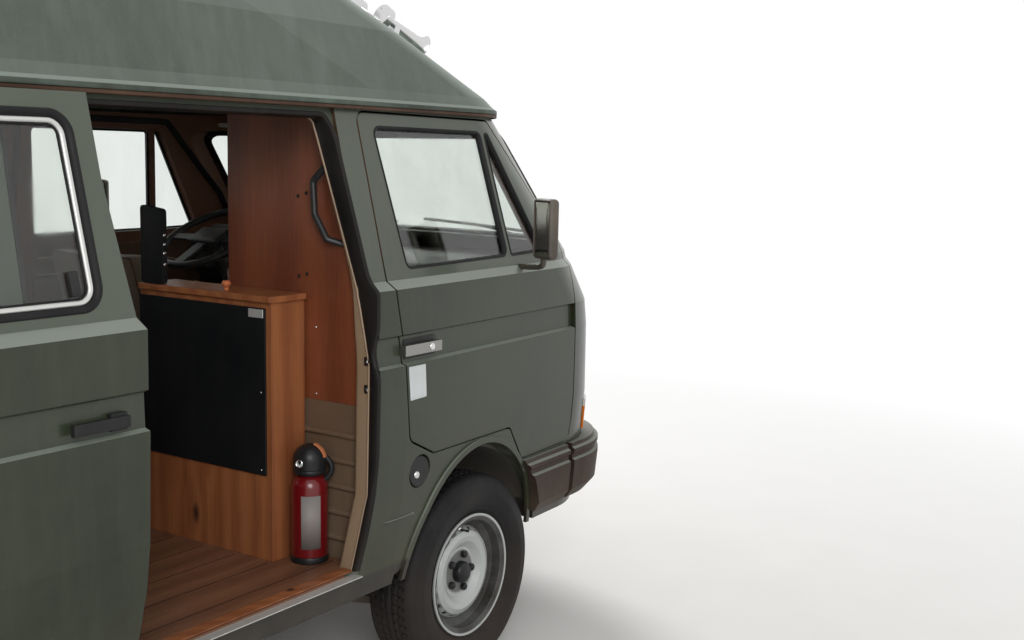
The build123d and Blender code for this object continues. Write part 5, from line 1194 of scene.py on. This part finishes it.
def extinguisher():
    """Profiles of (radius, height) turned about the bottle's axis; the head is an ellipse quarter with a
    flat ring, and the label is a patch of the bottle's own cylinder lifted by its thickness."""
    centre = np.array((-551.3, -702.0, 482.3))
    up = (0, 0, 1)
    bottle = [(0.5, 3), (44, 3), (50, 6), (52, 12), (52, 214), (51, 222), (47.5, 232), (41, 241), (33, 247), (29, 250),
              (29, 254), (0.5, 254)]
    red = piece("extinguisher_bottle", [turned(bottle, centre, up, 72)], bottle_red, "body")
    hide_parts("fire_extinguisher")
    angle = np.linspace(0, pi / 2, 12)
    dome = [(46.5 * cos(t), 290 + 46 * sin(t)) for t in angle]
    head = [(31, 247), (38, 249), (45, 254), (46.8, 259), (46.8, 262), (45.2, 263.5), (45.2, 266), (46.6, 267.5)] + dome
    base = [(0.5, 0), (50, 0), (53, 2), (53.6, 6), (53.6, 17), (52.2, 19.5), (51.8, 16), (48, 5), (0.5, 4)]
    right = np.array((0.555, -0.832, 0.0))
    bend = np.linspace(0, pi, 18)[:, None]
    hose = centre + right * (40 + 22 * np.sin(bend)) + (0, 0, 1.0) * (304 - 74 * bend / pi)
    dark = [turned(head[:-1] + [(0.5, 336)], centre, up, 64), turned(base, centre, up, 64),
            sweep(hose, (0.832, 0.555, 0), circle(8.0, 14), False)]
    piece("extinguisher_head", dark, bottle_black)
    spoke = unit(np.array((-0.93, -0.10, 0.06)))
    dial = centre + spoke * 44.0 + (0, 0, 284)
    rim = turned([(12, -6), (12, 4), (10.5, 5.5), (9, 4), (9, -6)], dial, spoke, 32, closed=True)
    piece("extinguisher_gauge", [rim], chrome, "body")
    piece("extinguisher_dial", [turned([(0.4, 2.4), (9, 2.4), (9, -3)], dial, spoke, 28)], label_white)
    rise = np.radians(np.linspace(72, 12, 16))[:, None]
    outward = np.array((0.30, -0.954, 0.0)) * np.cos(rise) + (0, 0, 1.0) * np.sin(rise)
    spots = centre + (0, 0, 290) + outward * 48.5
    piece("extinguisher_tab", [sweep(spots, outward, oblong(17, 4.0, 1.8), False, (1, 0, 0))], tab_orange, "body")
    turn = np.radians(np.linspace(196, 258, 24))
    heights = np.array((44.0, 45.0, 196.0, 197.0))
    radius = np.array((52.2, 52.7, 52.7, 52.2))
    outer = np.stack(np.broadcast_arrays(np.cos(turn)[:, None] * radius, np.sin(turn)[:, None] * radius, heights), 2)
    piece("extinguisher_label", [shell(centre + outer, caps=True)], label_grey)


extinguisher()

# Kitchen and partition details

def screw(place, axis, radius=4.5):
    """A domed screw head turned about its axis."""
    return turned([(0.3, 1.9), (radius * 0.5, 1.7), (radius * 0.85, 1.0), (radius, -0.6)], place, axis, 14)


def kitchen():
    """Edge strips, catch, knob, screws and switch dots on the cabinet, its upright and the partition."""
    edging, up = oblong(17.5, 4.0, 1.2), (0, 0, 1)
    strips = [strip((-639.5, -640, 1223), (-639.5, -103, 1223), (-1, 0, 0), edging, up),
              strip((-637, -642.4, 1223), (-501, -642.4, 1223), (0, -1, 0), edging, up)]
    piece("worktop_edging", strips, pine, "body")
    catch = box_round((-638.6, -612, 1170), (-636.0, -555, 1194), 2.0)
    piece("catch_plate", [catch], aluminium, "body")
    knob = turned([(0.4, 26), (9, 25), (13, 20), (13.5, 15), (9, 8), (6.5, 4), (8, 0), (8, -2)], (-600, -430, 1233.4),
                  up, 28)
    piece("worktop_knob", [knob], tab_orange, "body")
    bright = [screw((-490.2, y, z), (-1, 0, 0)) for y, z in ((-670, 1136), (-670, 946))]
    bright += [screw((-636.3, y, z), (-1, 0, 0), 3.6) for y in (-600, -118) for z in (742, 962)]
    bright += [screw((-621.0, -198.3, z), (0, -1, 0), 5.5) for z in (1289, 1322, 1348, 1375)]
    piece("kitchen_screws", bright, chrome, "body")
    dark = [screw((-490.2, y, z), (-1, 0, 0), 6.0) for y, z in ((-603, 1501), (-634, 1510), (-606, 1276), (-636, 1284))]
    piece("partition_screws", dark, trim_black)
    joint = oblong(2.6, 0.7, 0.3)
    joints = [strip((-2175, y, 482.2), (-645 if y > -640 else -520, y, 482.2), up, joint, (0, 1, 0), 90.0)
              for y in np.arange(-760, 800, 130.0)]
    piece("floor_joints", joints, panel_black, "body")


kitchen()

# Cushions, blown up as cloth from slightly smaller forms

# How much smaller a form starts, which is also the furthest that a point of it moves
SWELL = 9.0
SWELL_STEPS = 20
PRESSURE = 4.0
# The points this close to the side that it rests on are held
HELD_DEPTH = 4.0
EDGE_ROUND = 26.0
GRID_STEP = 16.0
CORD_RADIUS = 3.4


def rounded_block(low, high, radius, step):
    """A closed cushion form: a cube's faces are gridded, and each point is moved to the surface of the box
    with round edges: core(point) + radius * direction(point - core(point))."""
    low, high = np.array(low, float), np.array(high, float)
    shells = []
    counts = np.maximum(4, np.round((high - low) / step).astype(int))
    for axis in range(3):
        a, b = (axis + 1) % 3, (axis + 2) % 3
        lines = [np.linspace(low[k], high[k], counts[k] + 1) for k in (a, b)]
        grid_a, grid_b = np.meshgrid(*lines, indexing="ij")
        for level, turn in ((low[axis], -1), (high[axis], 1)):
            points = np.empty(grid_a.shape + (3,))
            points[..., axis], points[..., a], points[..., b] = level, grid_a, grid_b
            core = np.clip(points, low + radius, high - radius)
            points = core + radius * unit(points - core)
            nu, nv = points.shape[:2]
            u, v = (part.ravel() for part in np.meshgrid(np.arange(nu - 1), np.arange(nv - 1), indexing="ij"))
            quads = np.stack((u * nv + v, (u + 1) * nv + v, (u + 1) * nv + v + 1, u * nv + v + 1), 1)
            shells.append((points.reshape(-1, 3), (quads if turn > 0 else quads[:, ::-1]).tolist()))
    return shells


def leant(shells, lean, foot):
    """Shells leant back: x grows with the height above the foot."""
    return [(points + (lean * (points[:, 2:] - foot)) * (1.0, 0.0, 0.0), faces) for points, faces in shells]


def blown(thing, voxel, pinned):
    """A form swollen as cloth: the points on the side it rests on are held, and a point that moves further
    than the limit is brought back to it along its way."""
    bpy.context.view_layer.objects.active = thing
    remesh = thing.modifiers.new("remesh", "REMESH")
    remesh.mode, remesh.voxel_size = "VOXEL", voxel * MM
    graph = bpy.context.evaluated_depsgraph_get()
    mesh = bpy.data.meshes.new_from_object(thing.evaluated_get(graph))
    thing.modifiers.clear()
    thing.data = mesh
    count = len(mesh.vertices)
    before = np.empty(count * 3)
    mesh.vertices.foreach_get("co", before)
    before = before.reshape(-1, 3)
    group = thing.vertex_groups.new(name="held")
    axis, sign = pinned
    level = before[:, axis] * sign
    group.add(np.flatnonzero(level < level.min() + HELD_DEPTH * MM).tolist(), 1.0, "REPLACE")
    cloth = thing.modifiers.new("cloth", "CLOTH")
    setting = cloth.settings
    setting.quality, setting.mass, setting.air_damping = 5, 0.3, 4.0
    setting.tension_stiffness = setting.compression_stiffness = 18.0
    setting.shear_stiffness, setting.bending_stiffness = 8.0, 1.2
    setting.use_pressure, setting.uniform_pressure_force = True, PRESSURE
    setting.vertex_group_mass = "held"
    setting.effector_weights.gravity = 0.0
    cloth.collision_settings.use_collision = False
    for step in range(1, SWELL_STEPS + 1):
        bpy.context.scene.frame_set(step)
    graph = bpy.context.evaluated_depsgraph_get()
    swollen = thing.evaluated_get(graph).to_mesh()
    after = np.empty(count * 3)
    swollen.vertices.foreach_get("co", after)
    moved = after.reshape(-1, 3) - before
    far = np.linalg.norm(moved, axis=1, keepdims=True)
    moved *= np.minimum(1.0, SWELL * MM / np.maximum(far, 1e-9))
    thing.evaluated_get(graph).to_mesh_clear()
    thing.modifiers.clear()
    thing.vertex_groups.clear()
    mesh.vertices.foreach_set("co", (before + moved).ravel())
    mesh.polygons.foreach_set("use_smooth", np.ones(len(mesh.polygons), bool))
    if not mesh.materials:
        mesh.materials.append(seat_cloth)
    mesh.update()
    bpy.context.scene.frame_set(1)


def piping(thing, corners, radius, height):
    """A cord of cloth sewn along the cushion's edge: each point of its line is drawn onto the cushion."""
    mesh = thing.data
    tree = BVHTree.FromPolygons([tuple(v.co) for v in mesh.vertices], [tuple(f.vertices) for f in mesh.polygons])
    found = [tree.find_nearest(Vector(((p[0] * MM) + AXLE_X, p[1] * MM, p[2] * MM))) for p in corners]
    path = (np.array([tuple(hit[0]) for hit in found]) - (AXLE_X, 0, 0)) / MM
    path = smoothed(path, True, 5)
    return sweep(path, height, circle(radius, 8))


# Name, lowest and highest corner, voxel size, the axis and way in which it swells, lean, and the lean's foot
CUSHIONS = (
    ("bench_seat", (-2056, -447, 830.6), (-1673, 697, 946), 10.0, (2, 1), 0.0, 0.0),
    ("bench_back", (-2188, -446, 834), (-2076, 696, 1386), 10.0, (0, 1), 0.0, 0.0),
    ("bed_mattress", (-3236, -636, 1020.8), (-2204, 696, 1136), 14.0, (2, 1), 0.0, 0.0),
    ("cab_seat_left", (-334, 199, 852), (140, 661, 968), 8.0, (2, 1), 0.0, 0.0),
    ("cab_seat_right", (-334, -661, 852), (140, -199, 968), 8.0, (2, 1), 0.0, 0.0),
    ("cab_back_left", (-342, 200, 962), (-246, 660, 1286), 8.0, (0, -1), -0.285, 962.0),
    ("cab_back_right", (-342, -660, 962), (-246, -200, 1286), 8.0, (0, -1), -0.285, 962.0),
)


def cushions():
    """The seven cushions, each swollen on its own, with piping along its upper or outer edge."""
    stood = []
    for name, low, high, voxel, pinned, lean, foot in CUSHIONS:
        low, high = np.array(low, float), np.array(high, float)
        small, large = low + SWELL, high - SWELL
        axis, sign = pinned
        if sign > 0:
            small[axis] = low[axis]
        else:
            large[axis] = high[axis]
        shells = leant(rounded_block(small, large, EDGE_ROUND, GRID_STEP), lean, foot)
        thing = piece(name, shells, seat_cloth, "body", 80.0)
        merged = bmesh.new()
        merged.from_mesh(thing.data)
        bmesh.ops.remove_doubles(merged, verts=merged.verts, dist=0.0002)
        merged.to_mesh(thing.data)
        merged.free()
        blown(thing, voxel, pinned)
        a, b = [k for k in range(3) if k != axis]
        corners = ((small[a], small[b]), (large[a], small[b]), (large[a], large[b]), (small[a], large[b]))
        loop = rounded(corners, 30.0, 12.0)
        level = (large[axis] if sign > 0 else small[axis]) - sign * 7.0
        points = np.empty((len(loop), 3))
        points[:, a], points[:, b], points[:, axis] = loop[:, 0], loop[:, 1], level
        points[:, 0] += lean * (points[:, 2] - foot)
        height = np.zeros(3)
        height[axis] = sign
        piece(name + "_piping", [piping(thing, points, CORD_RADIUS, height)], vinyl_brown, "body")
        stood.append(thing)
    for thing in stood:
        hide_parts("cushions")


cushions()

# Cab interior

def cab():
    """Door cards, visors, mirror, vents and the gear lever: plates laid on the inner walls and turned forms."""
    card = rounded(((-330, 1262), (490, 1262), (515, 1100), (505, 812), (262, 806), (165, 812), (-240, 812),
                    (-330, 860)), 28.0, 30.0)
    pocket = rounded(((-180, 905), (300, 905), (290, 825), (-160, 825)), 20.0, 30.0)
    rest = rounded(((-150, 1040), (250, 1040), (240, 992), (-140, 992)), 18.0, 30.0)
    for hand in ("right", "left"):
        wall = Skin("door_" + hand)
        card_parts = [panel(wall, card, hand, 7.0, 3.0, inside=True),
                      panel(wall, pocket, hand, 22.0, 8.0, 6.0, inside=True),
                      panel(wall, rest, hand, 48.0, 14.0, 4.0, inside=True)]
        piece("door_card_" + hand, card_parts, vinyl_brown, "door_" + hand)
        line = dense([(-320, 1226), (60, 1216), (300, 1190), (470, 1130)], 30.0, False)
        bead = []
        for drop in (0.0, 62.0):
            path, normal = wall.lay(seen_plane(hand, line[:, 0], line[:, 1] - drop), -VIEWS[hand], 0.0)
            bead.append(sweep(smoothed(path + normal * 7.5, False, 6), normal, circle(3.0, 8), False, (0, 0, 1)))
        piece("door_piping_" + hand, bead, piping_tan, "door_" + hand)
        place = wall.lay([(180, 0, 950)], -VIEWS[hand], 0.0)[0][0] + VIEWS[hand] * 7.0
        crank = turned([(0.4, 34), (12, 33), (15, 29), (15, 10), (22, 4), (22, 0)], place, VIEWS[hand], 28)
        piece("window_crank_" + hand, [crank], trim_black, "door_" + hand)
    visors = []
    for sign in (-1, 1):
        flat = rounded(((262, sign * 120), (398, sign * 120), (398, sign * 540), (262, sign * 540)), 22.0, 40.0)
        visors.append(slab(flat, 1708, 1722, "z", 5.0))
    piece("sun_visors", visors, pad_grey)
    inner = rounded(((-118, 1578), (118, 1578), (118, 1632), (-118, 1632)), 18.0, 30.0)
    bend = dense([(408, 0, 1632), (412, 0, 1680), (420, 0, 1724)], 14.0, False)
    stalk = sweep(bend, (1, 0, 0), circle(6.0, 10), False, (0, 1, 0))
    piece("inner_mirror", [slab(inner, 380, 402, "x", 5.0), stalk], trim_black)
    piece("inner_mirror_glass", [slab(middle_scaled(inner, 0.93), 377.6, 380.2, "x", 0.8)], mirror_silver, "body")
    lever = dense([(170, 0, 642), (168, 0, 760), (150, 0, 900), (140, 0, 985)], 16.0, False)
    knob = turned([(0.4, 34), (12, 33), (20, 26), (22, 16), (18, 5), (9, 0), (7, -6)], (140, 0, 985), (-0.1, 0, 1), 28)
    boot = turned([(0.6, 96), (12, 94), (22, 74), (30, 60), (38, 40), (52, 22), (64, 8), (66, 0)], (170, 0, 640.3),
                  (0, 0, 1), 32)
    piece("gear_lever", [sweep(lever, (1, 0, 0), circle(7.0, 10), False, (0, 1, 0)), knob, boot], trim_black)
    dash = Skin("dashboard")
    vents, slats = [], []
    for y in (-690, -110, 110):
        hole = rounded(((y - 66, 1176), (y + 66, 1176), (y + 66, 1206), (y - 66, 1206)), 6.0)
        vents.append(panel(dash, hole, "tail", 5.0, 2.0))
        for z in (1183, 1191, 1199):
            path, normal = dash.lay(seen_plane("tail", np.linspace(y - 58, y + 58, 8), z), VIEWS["tail"])
            slats.append(sweep(path + normal * 6.0, normal, oblong(2.4, 4, 0.8), False, (0, 0, 1)))
    piece("dash_vents", vents, panel_black)
    piece("dash_slats", slats, dash_grey)


def middle_scaled(outline, share):
    """An outline drawn in towards its middle."""
    middle = outline.mean(0)
    return middle + (outline - middle) * share


cab()

# Floor, light and camera

def studio():
    """Pale floor, pale surroundings, two soft lamps, and the camera where the photographer stood."""
    floor_mesh = bpy.data.meshes.new("floor")
    corners = [(x * FLOOR_REACH, y * FLOOR_REACH, 0) for x, y in ((-1, -1), (1, -1), (1, 1), (-1, 1))]
    floor_mesh.from_pydata(corners, [], [(0, 1, 2, 3)])
    floor = bpy.data.objects.new("floor", floor_mesh)
    bpy.context.scene.collection.objects.link(floor)
    f = Finish("floor")
    color = f.mix(f.noise(f.place, 3.0, 4.0), (0.78, 0.775, 0.76, 1), (0.84, 0.835, 0.825, 1))
    material = f.done(color=color, roughness=0.9, specular=0.2)
    away = f.add("VectorMath", {0: f.place}, operation="LENGTH").outputs["Value"]
    glow = f.add("Emission", {"Color": (1.0, 1.0, 1.0, 1), "Strength": 1.0}).outputs[0]
    share = f.times(f.spread(away, *FLOOR_FADE), f.shown())
    both = f.add("MixShader", {0: share, 1: f.shader.outputs[0], 2: glow}).outputs[0]
    f.tree.links.new(both, f.tree.nodes["Material Output"].inputs["Surface"])
    floor_mesh.materials.append(material)

    world = bpy.data.worlds.new("studio")
    bpy.context.scene.world = world
    world.use_nodes = True
    g = Graph(world.node_tree)
    seen = g.shown()
    g.put(world.node_tree.nodes["Background"].inputs, {
        "Color": g.mix(seen, (1.0, 0.99, 0.97, 1), (1.0, 1.0, 1.0, 1)),
        "Strength": g.spread(seen, 0.0, 1.0, WORLD_LIGHT, WORLD_SEEN)})

    for name, place, aim, size, power in LAMPS:
        lamp = bpy.data.lights.new(name, "AREA")
        lamp.shape, lamp.size, lamp.energy = "DISK", size, power
        thing = bpy.data.objects.new(name, lamp)
        thing.location = place
        thing.rotation_euler = (Vector(aim) - Vector(place)).to_track_quat("-Z", "Y").to_euler()
        bpy.context.scene.collection.objects.link(thing)

    camera = bpy.data.cameras.new("camera")
    camera.lens = CAMERA_LENS
    camera.sensor_width = SENSOR_WIDTH
    camera.clip_end = 300.0
    yaw, pitch, roll = (radians(angle) for angle in CAMERA_TURN)
    forward = Vector((cos(yaw) * cos(pitch), sin(yaw) * cos(pitch), sin(pitch)))
    right = forward.cross(Vector((0, 0, 1))).normalized()
    up = right.cross(forward)
    rolled_right = cos(roll) * right + sin(roll) * up
    rolled_up = cos(roll) * up - sin(roll) * right
    thing = bpy.data.objects.new("camera", camera)
    matrix = Matrix((rolled_right, rolled_up, -forward)).transposed().to_4x4()
    matrix.translation = Vector(CAMERA_PLACE)
    thing.matrix_world = matrix
    bpy.context.scene.collection.objects.link(thing)
    bpy.context.scene.camera = thing
    bpy.context.scene.view_settings.view_transform = "Standard"


# The camera's place in metres, its yaw, pitch and roll in degrees, and its lens and sensor in millimetres
CAMERA_PLACE = (-1.81807, -3.02080, 1.63298)
CAMERA_TURN = (33.691, -7.773, 1.137)
CAMERA_LENS = 43.093
SENSOR_WIDTH = 36.0
# The surroundings' strength as light and as they are seen
WORLD_LIGHT = 0.55
WORLD_SEEN = 1.0
# The floor's half width, and between which distances from the van it fades to white, in metres
FLOOR_REACH = 60.0
FLOOR_FADE = (2.8, 6.5)
# Name, place, the point that it is aimed at, diameter and power
LAMPS = (
    ("key", (-4.5, -6.0, 4.6), (0.4, -0.6, 1.0), 3.6, 260.0),
    ("rim", (4.6, 3.2, 5.2), (0.6, 0.0, 1.2), 3.2, 260.0),
    ("doorway", (-2.3, -4.2, 1.9), (0.5, 0.3, 1.3), 1.6, 16.0),
)
studio()
